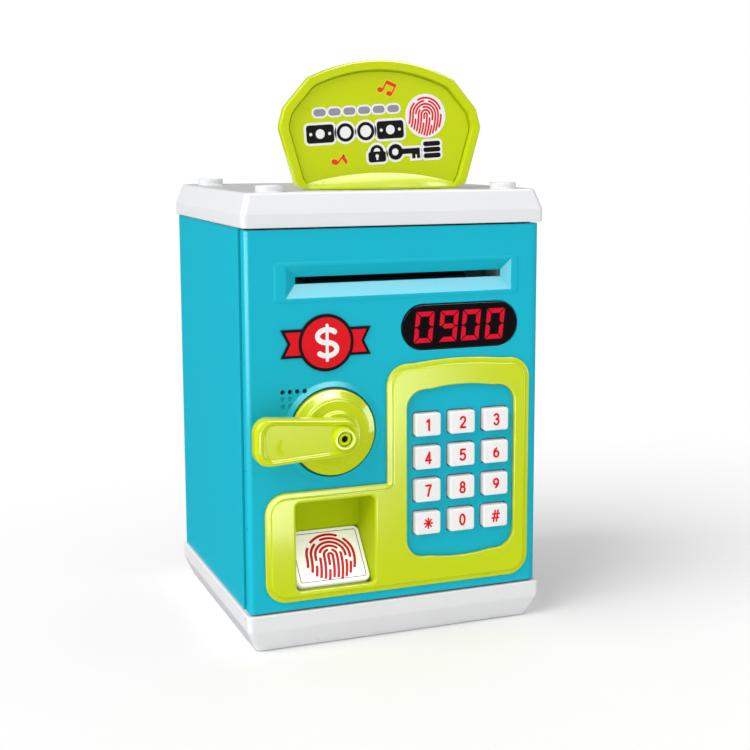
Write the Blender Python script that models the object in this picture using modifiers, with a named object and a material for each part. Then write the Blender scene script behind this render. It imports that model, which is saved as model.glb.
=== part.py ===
"""Toy ATM savings bank: a money box whose hinged front door carries a keypad, a handle and a note feeder.

Frame: origin on the floor at the centre of the base, +X to the right of someone facing the door,
+Y to the back, +Z up. Sizes are named in millimetres, and the shape helpers turn them into metres.
"""

import math

import bmesh
import bpy
from mathutils import Matrix, Vector

MM = 0.001

# Driving dimensions of the case
WIDTH = 133.0
DEPTH = 119.0
HEIGHT = 244.0
BASE_TOP = 16.5
CAP_BOTTOM = 175.5
CAP_TOP = 189.5
WALL = 2.3
SIDE_INSET = 1.0
FIT = 0.3
RUNNING_FIT = 0.1

# Levels and faces that follow from them
BODY_X = WIDTH / 2 - SIDE_INSET
BACK_Y = DEPTH / 2 - SIDE_INSET
FRONT_Y = -BACK_Y
INNER_X = BODY_X - WALL
RIM = 4.5
RIM_X = WIDTH / 2 - RIM

# Door
DOOR_GAP = 0.7
DOOR_RETURN = 9.4
DOOR_LOW = BASE_TOP + DOOR_GAP
DOOR_HIGH = CAP_BOTTOM - DOOR_GAP
HINGE_R = DOOR_RETURN / 2
HINGE_X = BODY_X - HINGE_R
HINGE_Y = FRONT_Y + HINGE_R
DOOR_REAR_Y = FRONT_Y + DOOR_RETURN
PLATE_BACK_Y = FRONT_Y + WALL
SHELL_FRONT_Y = DOOR_REAR_Y + 0.8

# Door back cover
COVER_LEFT = -54.0
COVER_RIGHT = 56.0
COVER_LOW = 20.5
COVER_HIGH = 171.5
COVER_WALL = 2.0
COVER_REAR_Y = -27.0

# Handle and latch
HANDLE_X = -29.5
HANDLE_Z = 91.4
HANDLE_FRONT_Y = DEPTH / 2 - 135.0
KNOB_R = 17.9
RECESS_R = 21.2
RECESS_DEPTH = 1.2
LEVER_LENGTH = 36.5
LEVER_TIP_HALF = 10.1
LEVER_ROOT_R = 7.8
LEVER_BACK_Y = -66.8
LEVER_FACE_Y = -73.0
SHAFT_R = 3.0
CAM_R = 7.07
CAM_PIN_R = 1.5
BOLT_Z = HANDLE_Z - CAM_R
BOLT_HALF = 4.3
BOLT_FRONT_Y = -44.1
BOLT_REAR_Y = -41.0
BOLT_TIP_X = -62.5
BOLT_TAIL_X = -22.0

# Bill slot
SLOT_X = 0.8
SLOT_Z = 154.2
SLOT_HALF = 45.5
SLOT_HEIGHT = 2.6

# Display window
DISPLAY_X = 27.8
DISPLAY_Z = 132.6
DISPLAY_W = 54.2
DISPLAY_H = 18.7

# Keypad
KEY_PITCH_X = 15.8
KEY_PITCH_Z = 14.2
KEY_TOP_Z = 91.5
KEYPAD_X = 28.0
KEY_W = 12.0
KEY_H = 10.7
KEY_PROUD = 3.2
KEY_FLANGE = 0.75
KEY_MARGIN = 0.45
KEY_NAMES = ("1", "2", "3", "4", "5", "6", "7", "8", "9", "star", "0", "hash")

# Lime bezel and finger pocket
BEZEL_LEFT = -59.8
BEZEL_RIGHT = 60.8
BEZEL_LOW = 21.0
BEZEL_HIGH = 117.4
BEZEL_ARCH = 1.6
BEZEL_STEP_X = -6.7
BEZEL_STEP_Z = 68.0
BEZEL_FRONT_Y = FRONT_Y - 2.0
BEZEL_BACK_Y = FRONT_Y - FIT
POCKET_LEFT = -45.9
POCKET_RIGHT = -11.5
POCKET_LOW = 25.4
POCKET_HIGH = 62.9
POCKET_DEEP_Y = -40.0
POCKET_WALL = 1.5
PAD_TILT = math.radians(41.8)
PAD_CENTRE = Vector((-28.4, -48.6, 36.35))
PAD_W = 32.2
PAD_L = 24.0
PAD_THICK = 2.4

# Note feeder
ROLLER_Y = -45.0
ROLLER_GAP = 0.9
DRIVE_R = 4.5
PINCH_R = 3.5
DRIVE_Z = SLOT_Z - ROLLER_GAP / 2 - DRIVE_R
PINCH_Z = SLOT_Z + ROLLER_GAP / 2 + PINCH_R
ROLLER_HALF = 35.0
AXLE_R = 1.5
FRAME_X = 49.0
GEAR_MODULE = 0.6
DRIVE_TEETH = 28
PINION_TEETH = 10
GEAR_X = (50.5, 53.0)
GEAR_CENTRES = GEAR_MODULE * (DRIVE_TEETH + PINION_TEETH) / 2
MOTOR_Y = ROLLER_Y + GEAR_CENTRES * math.sqrt(0.5)
MOTOR_Z = DRIVE_Z - GEAR_CENTRES * math.sqrt(0.5)
MOTOR_R = 6.0

# Batteries (AA)
BATTERY_R = 7.1
BATTERY_BODY = 49.2
BATTERY_NUB = 1.3
BATTERY_Y = -37.4
BATTERY_PITCH = 16.0
BATTERY_MID_Z = 62.0
BAY_LEFT = 0.5
BAY_LOW = 38.0
BAY_HIGH = 86.0
BAY_FLOOR_Y = -45.0

# Case screws and cover screws
SCREW_R = 1.5
SCREW_HEAD_R = 2.8
CASE_SCREWS = ((-57.5, -41.0), (57.5, -41.0), (-57.5, 51.0), (57.5, 51.0))
COVER_SCREWS = ((-48.5, 165.0), (49.0, 165.0), (-48.5, 69.0), (50.0, 29.0))

# Finishes: colour, roughness, metallic
FINISHES = {
    "blue": ((0.0, 0.42, 0.58), 0.35, 0.0),
    "white": ((0.88, 0.88, 0.90), 0.35, 0.0),
    "lime": ((0.56, 0.70, 0.0), 0.30, 0.0),
    "key_white": ((0.92, 0.92, 0.92), 0.40, 0.0),
    "black": ((0.01, 0.01, 0.01), 0.20, 0.0),
    "red": ((0.80, 0.0, 0.01), 0.40, 0.0),
    "rubber": ((0.05, 0.05, 0.05), 0.80, 0.0),
    "grey_rubber": ((0.35, 0.35, 0.36), 0.75, 0.0),
    "board": ((0.03, 0.22, 0.08), 0.50, 0.0),
    "steel": ((0.60, 0.60, 0.62), 0.30, 1.0),
    "inner_white": ((0.75, 0.76, 0.78), 0.50, 0.0),
}


# ---------------------------------------------------------------- scene and collections


def clear_scene():
    for obj in list(bpy.data.objects):
        bpy.data.objects.remove(obj, do_unlink=True)


def new_collection(name):
    collection = bpy.data.collections.new(name)
    bpy.context.scene.collection.children.link(collection)
    return collection


clear_scene()
PARTS = new_collection("toy_atm_savings_bank")
TOOLS = new_collection("cutters")


# ---------------------------------------------------------------- shape helpers


def new_object(name, mesh):
    """A helper object: hidden from renders until keep() makes it a part."""
    obj = bpy.data.objects.new(name, mesh)
    TOOLS.objects.link(obj)
    obj.hide_render = True
    obj.display_type = "WIRE"
    return obj


def from_bmesh(name, bm):
    mesh = bpy.data.meshes.new(name)
    bmesh.ops.recalc_face_normals(bm, faces=bm.faces)
    bm.to_mesh(mesh)
    bm.free()
    return new_object(name, mesh)


def add_box(bm, low, high):
    low, high = Vector(low) * MM, Vector(high) * MM
    made = bmesh.ops.create_cube(bm, size=1.0)["verts"]
    bmesh.ops.scale(bm, vec=high - low, verts=made)
    bmesh.ops.translate(bm, vec=(low + high) / 2, verts=made)
    return made


def box(name, low, high, bevel=0.0):
    bm = bmesh.new()
    add_box(bm, low, high)
    if bevel:
        bmesh.ops.bevel(bm, geom=bm.edges[:], offset=bevel * MM, segments=2, profile=0.5, affect="EDGES")
    return from_bmesh(name, bm)


def boxes(name, pairs):
    """Several boxes that stand clear of one another, as one cutter."""
    bm = bmesh.new()
    for low, high in pairs:
        add_box(bm, low, high)
    return from_bmesh(name, bm)


AXIS_TURN = {
    "X": Matrix.Rotation(math.radians(90), 3, "Y"),
    "Y": Matrix.Rotation(math.radians(-90), 3, "X"),
    "Z": Matrix.Identity(3),
    "-Y": Matrix.Rotation(math.radians(90), 3, "X"),
    "-Z": Matrix.Rotation(math.radians(180), 3, "X"),
}


def add_rod(bm, axis, start, length, r, r_end=None, sides=24):
    """A cylinder or cone from its start point, along +axis."""
    made = bmesh.ops.create_cone(
        bm,
        cap_ends=True,
        segments=sides,
        radius1=r * MM,
        radius2=(r if r_end is None else r_end) * MM,
        depth=length * MM,
    )["verts"]
    bmesh.ops.translate(bm, vec=(0, 0, length / 2 * MM), verts=made)
    bmesh.ops.rotate(bm, matrix=AXIS_TURN[axis], verts=made)
    bmesh.ops.translate(bm, vec=Vector(start) * MM, verts=made)


def rod(name, axis, start, length, r, r_end=None, sides=24):
    bm = bmesh.new()
    add_rod(bm, axis, start, length, r, r_end, sides)
    return from_bmesh(name, bm)


def rods(name, axis, starts, length, r, sides=24):
    """Equal cylinders that stand clear of one another, as one cutter or as bosses."""
    bm = bmesh.new()
    for start in starts:
        add_rod(bm, axis, start, length, r, sides=sides)
    return from_bmesh(name, bm)


def baked(obj, merge=0.00001):
    """The evaluated object as a plain mesh, with loose caps welded; the source object goes."""
    bpy.context.view_layer.update()
    evaluated = obj.evaluated_get(bpy.context.evaluated_depsgraph_get())
    mesh = bpy.data.meshes.new_from_object(evaluated)
    bm = bmesh.new()
    bm.from_mesh(mesh)
    bmesh.ops.remove_doubles(bm, verts=bm.verts, dist=merge)
    bmesh.ops.recalc_face_normals(bm, faces=bm.faces)
    bm.to_mesh(mesh)
    bm.free()
    result = new_object(obj.name + "_mesh", mesh)
    result.matrix_world = obj.matrix_world.copy()
    name = obj.name
    bpy.data.objects.remove(obj, do_unlink=True)
    result.name = name
    return result


def prism(name, outline, low, high, plane="XZ"):
    """A flat outline made solid: in plane XZ from y=low to y=high, or in XY from z=low to z=high."""
    curve = bpy.data.curves.new(name, "CURVE")
    curve.dimensions = "2D"
    curve.fill_mode = "BOTH"
    curve.extrude = (high - low) / 2 * MM
    spline = curve.splines.new("POLY")
    spline.points.add(len(outline) - 1)
    for point, (u, v) in zip(spline.points, outline):
        point.co = (u * MM, v * MM, 0.0, 1.0)
    spline.use_cyclic_u = True
    obj = new_object(name, curve)
    middle = (low + high) / 2 * MM
    if plane == "XZ":
        obj.matrix_world = Matrix.Translation((0, middle, 0)) @ Matrix.Rotation(math.radians(90), 4, "X")
    else:
        obj.matrix_world = Matrix.Translation((0, 0, middle))
    return baked(obj)


def turned(name, axis, centre, profile, sides=32):
    """A profile of (radius, distance along +axis) turned about an axis through centre.

    The profile runs down the outer side, from the far end of the axis to the near end.
    """
    mesh = bpy.data.meshes.new(name)
    bm = bmesh.new()
    points = [bm.verts.new((r * MM, 0.0, h * MM)) for r, h in profile]
    ends = zip(points, points[1:] + points[:1]) if profile[0][0] > 0 else zip(points, points[1:])
    for first, second in ends:
        bm.edges.new((first, second))
    bm.to_mesh(mesh)
    bm.free()
    obj = new_object(name, mesh)
    screw = obj.modifiers.new("turn", "SCREW")
    screw.steps = sides
    screw.render_steps = sides
    screw.use_merge_vertices = True
    screw.merge_threshold = 0.00001
    obj.matrix_world = Matrix.Translation(Vector(centre) * MM) @ AXIS_TURN[axis].to_4x4()
    return baked(obj)


def combine(target, other, operation):
    """Adds a Boolean to target. A cutter stays hidden in its own collection."""
    modifier = target.modifiers.new(other.name, "BOOLEAN")
    modifier.operation = operation
    modifier.object = other
    modifier.solver = "EXACT"
    return target


def fuse(target, *others):
    for other in others:
        combine(target, other, "UNION")
    return target


def cut(target, *others):
    for other in others:
        combine(target, other, "DIFFERENCE")
    return target


# ---------------------------------------------------------------- outlines


def arc(centre, r, start, end, steps):
    """Points on an arc, angles in degrees, both ends included."""
    angles = [math.radians(start + (end - start) * i / steps) for i in range(steps + 1)]
    return [(centre[0] + r * math.cos(a), centre[1] + r * math.sin(a)) for a in angles]


def bowed(start, end, rise, steps=8):
    """The inner points of a shallow arc from start to end that rises to the right of its direction."""
    a, b = Vector(start), Vector(end)
    side = Vector(((b - a).y, -(b - a).x)).normalized()
    points = []
    for i in range(1, steps):
        t = i / steps
        point = a.lerp(b, t) + side * rise * 4 * t * (1 - t)
        points.append((point.x, point.y))
    return points


def rounded(corners, steps=5):
    """A closed outline from (x, y, radius) corners, each turned into an arc of its radius."""
    outline = []
    for i, (x, y, r) in enumerate(corners):
        here = Vector((x, y))
        before = (Vector(corners[i - 1][:2]) - here).normalized()
        after = (Vector(corners[(i + 1) % len(corners)][:2]) - here).normalized()
        half = before.angle(after) / 2
        if r == 0 or half > math.radians(89):
            outline.append((x, y))
            continue
        reach = r / math.tan(half)
        centre = here + (before + after).normalized() * r / math.sin(half)
        start = here + before * reach - centre
        sweep = start.angle_signed(here + after * reach - centre)
        for step in range(steps + 1):
            point = centre + Matrix.Rotation(-sweep * step / steps, 2) @ start
            outline.append((point.x, point.y))
    return outline


def rectangle(left, right, low, high, r=0.0, steps=5):
    return rounded([(left, low, r), (right, low, r), (right, high, r), (left, high, r)], steps)


def stadium(x, z, w, h, steps=12):
    r = h / 2
    half = w / 2 - r
    return arc((x + half, z), r, -90, 90, steps) + arc((x - half, z), r, 90, 270, steps)


def offset_outline(outline, distance):
    """The outline moved inwards by distance, for one that runs counterclockwise."""
    moved = []
    for i, point in enumerate(outline):
        here = Vector(point)
        before = (here - Vector(outline[i - 1])).normalized()
        after = (Vector(outline[(i + 1) % len(outline)]) - here).normalized()
        normal = Vector((-(before + after).y, (before + after).x)).normalized()
        stretch = 1 / max(0.5, normal.dot(Vector((-after.y, after.x))))
        moved.append(tuple(here + normal * distance * stretch))
    return moved


# ---------------------------------------------------------------- making parts


def keep(obj, finish, parent=None):
    """Makes a helper object a part: shows it, shades it and gives it its material."""
    TOOLS.objects.unlink(obj)
    PARTS.objects.link(obj)
    obj.hide_render = False
    obj.display_type = "TEXTURED"
    colour, roughness, metallic = FINISHES[finish]
    material = bpy.data.materials.new(obj.name)
    material.use_nodes = True
    shader = material.node_tree.nodes["Principled BSDF"]
    shader.inputs["Base Color"].default_value = (*colour, 1.0)
    shader.inputs["Roughness"].default_value = roughness
    shader.inputs["Metallic"].default_value = metallic
    obj.data.materials.clear()
    obj.data.materials.append(material)
    obj.data.shade_smooth()
    obj.data.set_sharp_from_angle(angle=math.radians(35))
    if parent:
        obj.parent = parent
        obj.matrix_parent_inverse = parent.matrix_world.inverted()
    return obj


def axis_empty(name, location, parent=None):
    """An empty on a joint's axis, which the pieces that move on the joint have as their parent."""
    empty = bpy.data.objects.new(name, None)
    PARTS.objects.link(empty)
    empty.matrix_world = Matrix.Translation(Vector(location) * MM)
    if parent:
        bpy.context.view_layer.update()
        empty.parent = parent
        empty.matrix_parent_inverse = parent.matrix_world.inverted()
    bpy.context.view_layer.update()
    return empty


def screw(name, axis, tip, length, head_r=SCREW_HEAD_R, head=2.0, parent=None):
    """A pan-head screw with a slot across its head; the axis runs from its tip to its head."""
    profile = [(0.0, length + head), (head_r * 0.8, length + head), (head_r, length + head * 0.5)]
    profile += [(head_r, length), (SCREW_R, length), (SCREW_R, 1.5), (0.3, 0.0), (0.0, 0.0)]
    body = turned(name, axis, tip, profile, sides=14)
    top = length + head
    slot = box(name + "_slot", (-head_r * 0.55, -0.3, top - 0.9), (head_r * 0.55, 0.3, top + 0.9))
    slot.matrix_world = body.matrix_world.copy()
    cut(body, slot)
    return keep(body, "steel", parent)


def loft(name, sections):
    """A solid through outlines of equal point count, from (z, outline) sections listed upwards."""
    bm = bmesh.new()
    rings = [[bm.verts.new((x * MM, y * MM, z * MM)) for x, y in outline] for z, outline in sections]
    for lower, upper in zip(rings, rings[1:]):
        for i in range(len(lower)):
            bm.faces.new((lower[i - 1], lower[i], upper[i], upper[i - 1]))
    bm.faces.new(rings[0][::-1])
    bm.faces.new(rings[-1])
    return from_bmesh(name, bm)


def case_section(inset, r):
    x, y = WIDTH / 2 - inset, DEPTH / 2 - inset
    return rectangle(-x, x, -y, y, r, steps=4)


# ---------------------------------------------------------------- case

CASE_CORNER_R = 2.5
BASE_BAND = 9.7
BASE_CHAMFER = 4.2
BASE_FLOOR = 2.5
BOSS_R = 4.2
BOSS_TALL = 14.4
SCREW_WELL_R = 3.4
SCREW_WELL = 3.0
PIN_R = 1.5
PIN_HOLE_R = PIN_R + RUNNING_FIT
PIN_DEPTH = 5.0
CAVITY_FRONT_Y = -46.0
CAVITY_BACK_Y = 55.5


def base_tray():
    foot = case_section(BASE_CHAMFER, CASE_CORNER_R - 1)
    band = case_section(0, CASE_CORNER_R)
    tray = loft("base_tray", [(0, foot), (BASE_BAND, band), (BASE_TOP, band)])
    cavity = box(
        "base_cavity",
        (-RIM_X + 3, CAVITY_FRONT_Y, BASE_FLOOR),
        (RIM_X - 3, CAVITY_BACK_Y - 3, BASE_TOP + 5),
    )
    sill = box("base_sill_hollow", (-54, -53, -5), (52, -49, BASE_TOP - 3))
    boss_starts = [(x, y, BASE_FLOOR - 1) for x, y in CASE_SCREWS]
    boss_sockets = [(x, y, BASE_FLOOR + 2.5) for x, y in CASE_SCREWS]
    cut(tray, cavity)
    fuse(tray, rods("base_bosses", "Z", boss_starts, 3.5, BOSS_R + 0.5, sides=16))
    cut(tray, sill, rods("base_boss_sockets", "Z", boss_sockets, 20, BOSS_R + 0.6, sides=16))
    cut(tray, rods("base_wells", "Z", [(x, y, -1) for x, y in CASE_SCREWS], 1 + SCREW_WELL, SCREW_WELL_R, 16))
    cut(tray, rods("base_holes", "Z", [(x, y, 1) for x, y in CASE_SCREWS], 20, SCREW_R + FIT, 12))
    cut(tray, rod("base_pin_hole", "Z", (HINGE_X, HINGE_Y, BASE_TOP - PIN_DEPTH - FIT), 20, PIN_HOLE_R))
    return keep(tray, "white")


def body_shell():
    """Three walls in one, with screw bosses below, clip tongues above and the latch keeper."""
    low, high = BASE_TOP + FIT, CAP_BOTTOM - FIT
    shell = box("body_shell", (-BODY_X, SHELL_FRONT_Y, low), (BODY_X, BACK_Y, high))
    cut(shell, box("shell_hollow", (-INNER_X, -80, 0), (INNER_X, BACK_Y - WALL, 200)))
    for x, y in CASE_SCREWS:
        tag = f"boss_{x:.0f}_{y:.0f}"
        side = math.copysign(1, x)
        web_x = sorted((x, side * (INNER_X + 0.5)))
        post = rod(tag, "Z", (x, y, BASE_FLOOR + 2.5 + FIT), BOSS_TALL, BOSS_R, sides=16)
        web = box(tag + "_web", (web_x[0], y - 2.5, low + 1.5), (web_x[1], y + 2.5, low + 4.5))
        hole = rod(tag + "_hole", "Z", (x, y, 0), 15, SCREW_R + FIT, sides=12)
        fuse(shell, post, web)
        cut(shell, hole)
    for side in (-1, 1):
        for y in (-25, 30):
            tag = f"tongue_{side}_{y}"
            reach_x = sorted((side * (RIM_X - 2.5), side * (RIM_X - 0.4)))
            root_x = sorted((side * (RIM_X - 2.0), side * (INNER_X + 0.5)))
            tongue = box(tag, (reach_x[0], y - 6, high - 12), (reach_x[1], y + 6, high + 6))
            root = box(tag + "_root", (root_x[0], y - 5, high - 11), (root_x[1], y + 5, high - 1))
            fuse(shell, tongue, root)
    keeper = box(
        "latch_keeper",
        (-INNER_X - 0.5, SHELL_FRONT_Y + 0.4, BOLT_Z - BOLT_HALF - 4),
        (BOLT_TIP_X + 2.0, BOLT_FRONT_Y - 1.5, BOLT_Z + BOLT_HALF + 4),
    )
    fuse(shell, keeper)
    return keep(shell, "blue")


CAP_BAND = 180.9
CAP_CHAMFER = 2.8
CAP_ROOF = 3.0
STUD_X, STUD_Y = 50.0, 48.0
COIN_SLOT_Y = 14.0
COIN_SLOT = (34.0, 4.5)
TAB_X = 22.0
TAB_W = 9.0
SIGN_FRONT_Y = -41.1
SIGN_BACK_Y = -36.1
TAB_FRONT_Y, TAB_BACK_Y = -40.0, -37.2


def top_cap():
    band = case_section(0, CASE_CORNER_R)
    rim = case_section(CAP_CHAMFER, CASE_CORNER_R - 1)
    cap = loft("top_cap", [(CAP_BOTTOM, band), (CAP_BAND, band), (CAP_TOP, rim)])
    roof = CAP_TOP - CAP_ROOF
    cavity = ((-RIM_X, CAVITY_FRONT_Y, CAP_BOTTOM - 5), (RIM_X, CAVITY_BACK_Y, roof))
    front = ((-54, -54.5, CAP_BOTTOM - 5), (54, CAVITY_FRONT_Y - 2.5, roof))
    cut(cap, boxes("cap_hollows", (cavity, front)))
    studs = [(x, y, CAP_TOP - 1) for x in (-STUD_X, STUD_X) for y in (-STUD_Y, STUD_Y)]
    fuse(cap, rods("cap_studs", "Z", studs, 3.6, 5.6, sides=20))
    coin = (
        (-COIN_SLOT[0] / 2, COIN_SLOT_Y - COIN_SLOT[1] / 2, roof - 2),
        (COIN_SLOT[0] / 2, COIN_SLOT_Y + COIN_SLOT[1] / 2, CAP_TOP + 5),
    )
    slots = [
        ((x - TAB_W / 2 - FIT, TAB_FRONT_Y - FIT, roof - 2), (x + TAB_W / 2 + FIT, TAB_BACK_Y + FIT, 200))
        for x in (-TAB_X, TAB_X)
    ]
    cut(cap, boxes("cap_slots", [coin, *slots]))
    cut(cap, rod("cap_pin_hole", "Z", (HINGE_X, HINGE_Y, CAP_BOTTOM - 5), 5 + PIN_DEPTH + FIT, PIN_HOLE_R))
    return keep(cap, "white")


SIGN_FOOT_HALF = 33.0
SIGN_RIM = 4.0
SIGN_RECESS = 1.3


def sign_outline(inset=0.0):
    """The board's outline, counterclockwise seen from the front, from its foot to the arc at the top."""
    z = CAP_TOP + FIT
    shoulder_x, shoulder_z = 32.4, z + 46.2
    right = [(SIGN_FOOT_HALF, z), (38.2, z + 1.6), (45.8, z + 25.5), (43.4, z + 33.5)]
    right.append((shoulder_x, shoulder_z))
    arch = bowed((shoulder_x, shoulder_z), (-shoulder_x, shoulder_z), HEIGHT - shoulder_z)
    corners = right + arch + [(-x, v) for x, v in right[::-1]]
    radii = [0, 2, 4, 4, 5] + [0] * len(arch) + [5, 4, 4, 2, 0]
    return rounded([(*point, r) for point, r in zip(offset_outline(corners, inset), radii)], steps=3)


def sign_board():
    board = prism("sign_board", sign_outline(), SIGN_FRONT_Y, SIGN_BACK_Y)
    panel = prism("sign_panel", sign_outline(SIGN_RIM), SIGN_FRONT_Y - 5, SIGN_FRONT_Y + SIGN_RECESS)
    z = CAP_TOP + FIT
    foot = box("sign_foot", (-SIGN_FOOT_HALF + 1, SIGN_FRONT_Y - 4, z), (SIGN_FOOT_HALF - 1, -38, z + 2.4))
    cut(board, panel)
    fuse(board, foot)
    for x in (-TAB_X, TAB_X):
        low = (x - TAB_W / 2, TAB_FRONT_Y, CAP_TOP - 6)
        fuse(board, box(f"sign_tab_{x:.0f}", low, (x + TAB_W / 2, TAB_BACK_Y, z + 3)))
    return keep(board, "lime")


def base_screws():
    for number, (x, y) in enumerate(CASE_SCREWS, 1):
        length = 10.0
        screw(f"base_screw_{number}", "-Z", (x, y, SCREW_WELL - FIT + length), length)


# ---------------------------------------------------------------- door

LEFT_FLANGE = 5.2
LEFT_STEP = 1.3
EDGE_R = 1.5
SLOT_FRAME = (55.0, 145.6, 162.5, 1.0)
SLOT_MOUTH = (51.0, 146.3, 160.9)
SLOT_THROAT_Y = FRONT_Y + 3.0
SLOT_BLOCK_Y = -53.5
SPEAKER_X, SPEAKER_Z = -45.2, 106.6
SPEAKER_R = 6.4
SPEAKER_REAR_Y = -48.6
SPEAKER_COLUMNS = (-50.9, -47.8, -44.6, -41.6)
SPEAKER_ROWS = (109.6, 106.7, 103.7)
BOSS_END_Y = -30.0
COVER_BOSS_R = 3.2
RAIL_X = (-50.0, -42.0)
RAIL_REAR_Y = -40.0
SPRING_POST_X = (-11.0, -9.0)


def door_plan():
    """The door from above: a flat front, a stepped left return and a half-round hinge barrel at the right."""
    step_x, step_y = -BODY_X + LEFT_STEP, FRONT_Y + LEFT_FLANGE
    left = [(step_x, DOOR_REAR_Y, 0), (step_x, step_y, 0), (-BODY_X, step_y, 0), (-BODY_X, FRONT_Y, EDGE_R)]
    barrel = arc((HINGE_X, HINGE_Y), HINGE_R, -90, 90, 12)
    return rounded(left + [(x, y, 0) for x, y in barrel], steps=4)


def slot_funnel():
    """The sloping mouth of the bill slot and the slot itself, as one cutter."""
    half, low, high = SLOT_MOUTH
    bm = bmesh.new()
    front = FRONT_Y - SLOT_FRAME[3] - 0.5
    made = add_box(bm, (SLOT_X - half, front, low), (SLOT_X + half, SLOT_THROAT_Y, high))
    for vert in made:
        if abs(vert.co.y - SLOT_THROAT_Y * MM) < 1e-6:
            vert.co.x = (SLOT_X + math.copysign(SLOT_HALF, vert.co.x)) * MM
            vert.co.z = (SLOT_Z + (SLOT_HEIGHT / 2 if vert.co.z > SLOT_Z * MM else -SLOT_HEIGHT / 2)) * MM
    funnel = from_bmesh("slot_mouth", bm)
    throat = box(
        "slot_throat",
        (SLOT_X - SLOT_HALF + 0.1, SLOT_THROAT_Y - 0.5, SLOT_Z - SLOT_HEIGHT / 2 + 0.1),
        (SLOT_X + SLOT_HALF - 0.1, SLOT_BLOCK_Y + 2, SLOT_Z + SLOT_HEIGHT / 2 - 0.1),
    )
    return funnel, throat


def key_centres():
    for index, name in enumerate(KEY_NAMES):
        x = KEYPAD_X + (index % 3 - 1) * KEY_PITCH_X
        yield name, x, KEY_TOP_Z - (index // 3) * KEY_PITCH_Z


def door_bosses():
    """Posts behind the front plate, for the cover screws, the bolt, its spring and the handle's shaft."""
    inside = PLATE_BACK_Y - 0.8
    made = [
        rod(f"cover_boss_{i}", "Y", (x, inside, z), BOSS_END_Y - inside, COVER_BOSS_R, sides=14)
        for i, (x, z) in enumerate(COVER_SCREWS)
    ]
    rail_gap = BOLT_HALF + 0.4
    for name, z in (("rail_low", BOLT_Z - rail_gap - 2.5), ("rail_high", BOLT_Z + rail_gap)):
        made.append(box(name, (RAIL_X[0], inside, z), (RAIL_X[1], RAIL_REAR_Y, z + 2.5)))
    post_low = (SPRING_POST_X[0], inside, BOLT_Z - BOLT_HALF)
    made.append(box("spring_post", post_low, (SPRING_POST_X[1], RAIL_REAR_Y, BOLT_Z + BOLT_HALF)))
    made.append(rod("shaft_boss", "Y", (HANDLE_X, inside, HANDLE_Z), 6.0, 6.0))
    made.append(rod("recess_backing", "Y", (HANDLE_X, inside, HANDLE_Z), 2.2, RECESS_R + 0.9, sides=32))
    return made


def door_shell():
    shell = prism("door_shell", door_plan(), DOOR_LOW, DOOR_HIGH, plane="XY")
    hollow = box("door_hollow", (-INNER_X, PLATE_BACK_Y, DOOR_LOW + WALL), (56.5, -30, DOOR_HIGH - WALL))
    cut(shell, hollow)
    half, low, high, proud = SLOT_FRAME
    frame = box("slot_frame", (-half, FRONT_Y - proud, low), (half, FRONT_Y + 1, high))
    block = box("slot_block", (-50, FRONT_Y + 1, low - 1), (50, SLOT_BLOCK_Y, high + 1))
    fuse(shell, frame, block, *door_bosses())
    cut(shell, *slot_funnel())
    window = stadium(DISPLAY_X, DISPLAY_Z, DISPLAY_W + 2 * FIT, DISPLAY_H + 2 * FIT)
    cut(shell, prism("display_hole", window, FRONT_Y - 2, PLATE_BACK_Y + 2))
    half_w, half_h = KEY_W / 2 + KEY_MARGIN, KEY_H / 2 + KEY_MARGIN
    key_holes = [
        ((x - half_w, FRONT_Y - 2, z - half_h), (x + half_w, PLATE_BACK_Y + 2, z + half_h))
        for _, x, z in key_centres()
    ]
    cut(shell, boxes("key_holes", key_holes))
    around = POCKET_WALL + 0.4
    pocket_hole = box(
        "pocket_hole",
        (POCKET_LEFT - around, FRONT_Y - 2, POCKET_LOW - around),
        (POCKET_RIGHT + around, PLATE_BACK_Y + 2, POCKET_HIGH + around),
    )
    cut(shell, pocket_hole)
    ahead = (HANDLE_X, FRONT_Y - 3, HANDLE_Z)
    cut(shell, rod("knob_recess", "Y", ahead, 3 + RECESS_DEPTH, RECESS_R, sides=48))
    cut(shell, rod("shaft_hole", "Y", ahead, 20, SHAFT_R + RUNNING_FIT + 0.02))
    top_row = [(x, FRONT_Y - 2, SPEAKER_ROWS[0]) for x in SPEAKER_COLUMNS]
    cut(shell, rods("speaker_holes", "Y", top_row, 8, 0.95, sides=10))
    dimples = [(x, FRONT_Y - 2, z) for x in SPEAKER_COLUMNS[:2] for z in SPEAKER_ROWS[1:]]
    cut(shell, rods("speaker_dimples", "Y", dimples, 2.8, 0.95, sides=10))
    screw_starts = [(x, BOSS_END_Y - 12, z) for x, z in COVER_SCREWS]
    cut(shell, rods("cover_boss_holes", "Y", screw_starts, 20, SCREW_R + FIT, sides=12))
    pin_holes = [(HINGE_X, HINGE_Y, DOOR_LOW - 2), (HINGE_X, HINGE_Y, DOOR_HIGH - 9)]
    cut(shell, rods("barrel_pin_holes", "Z", pin_holes, 11, PIN_HOLE_R))
    return keep(shell, "blue", DOOR_AXIS)


def hinge_pins():
    inset = PIN_DEPTH
    for name, low, high in (
        ("hinge_pin_bottom", BASE_TOP - inset, DOOR_LOW + 8),
        ("hinge_pin_top", DOOR_HIGH - 8, CAP_BOTTOM + inset),
    ):
        pin = rod(name, "Z", (HINGE_X, HINGE_Y, low), high - low, PIN_R)
        keep(pin, "steel", DOOR_AXIS)


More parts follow.
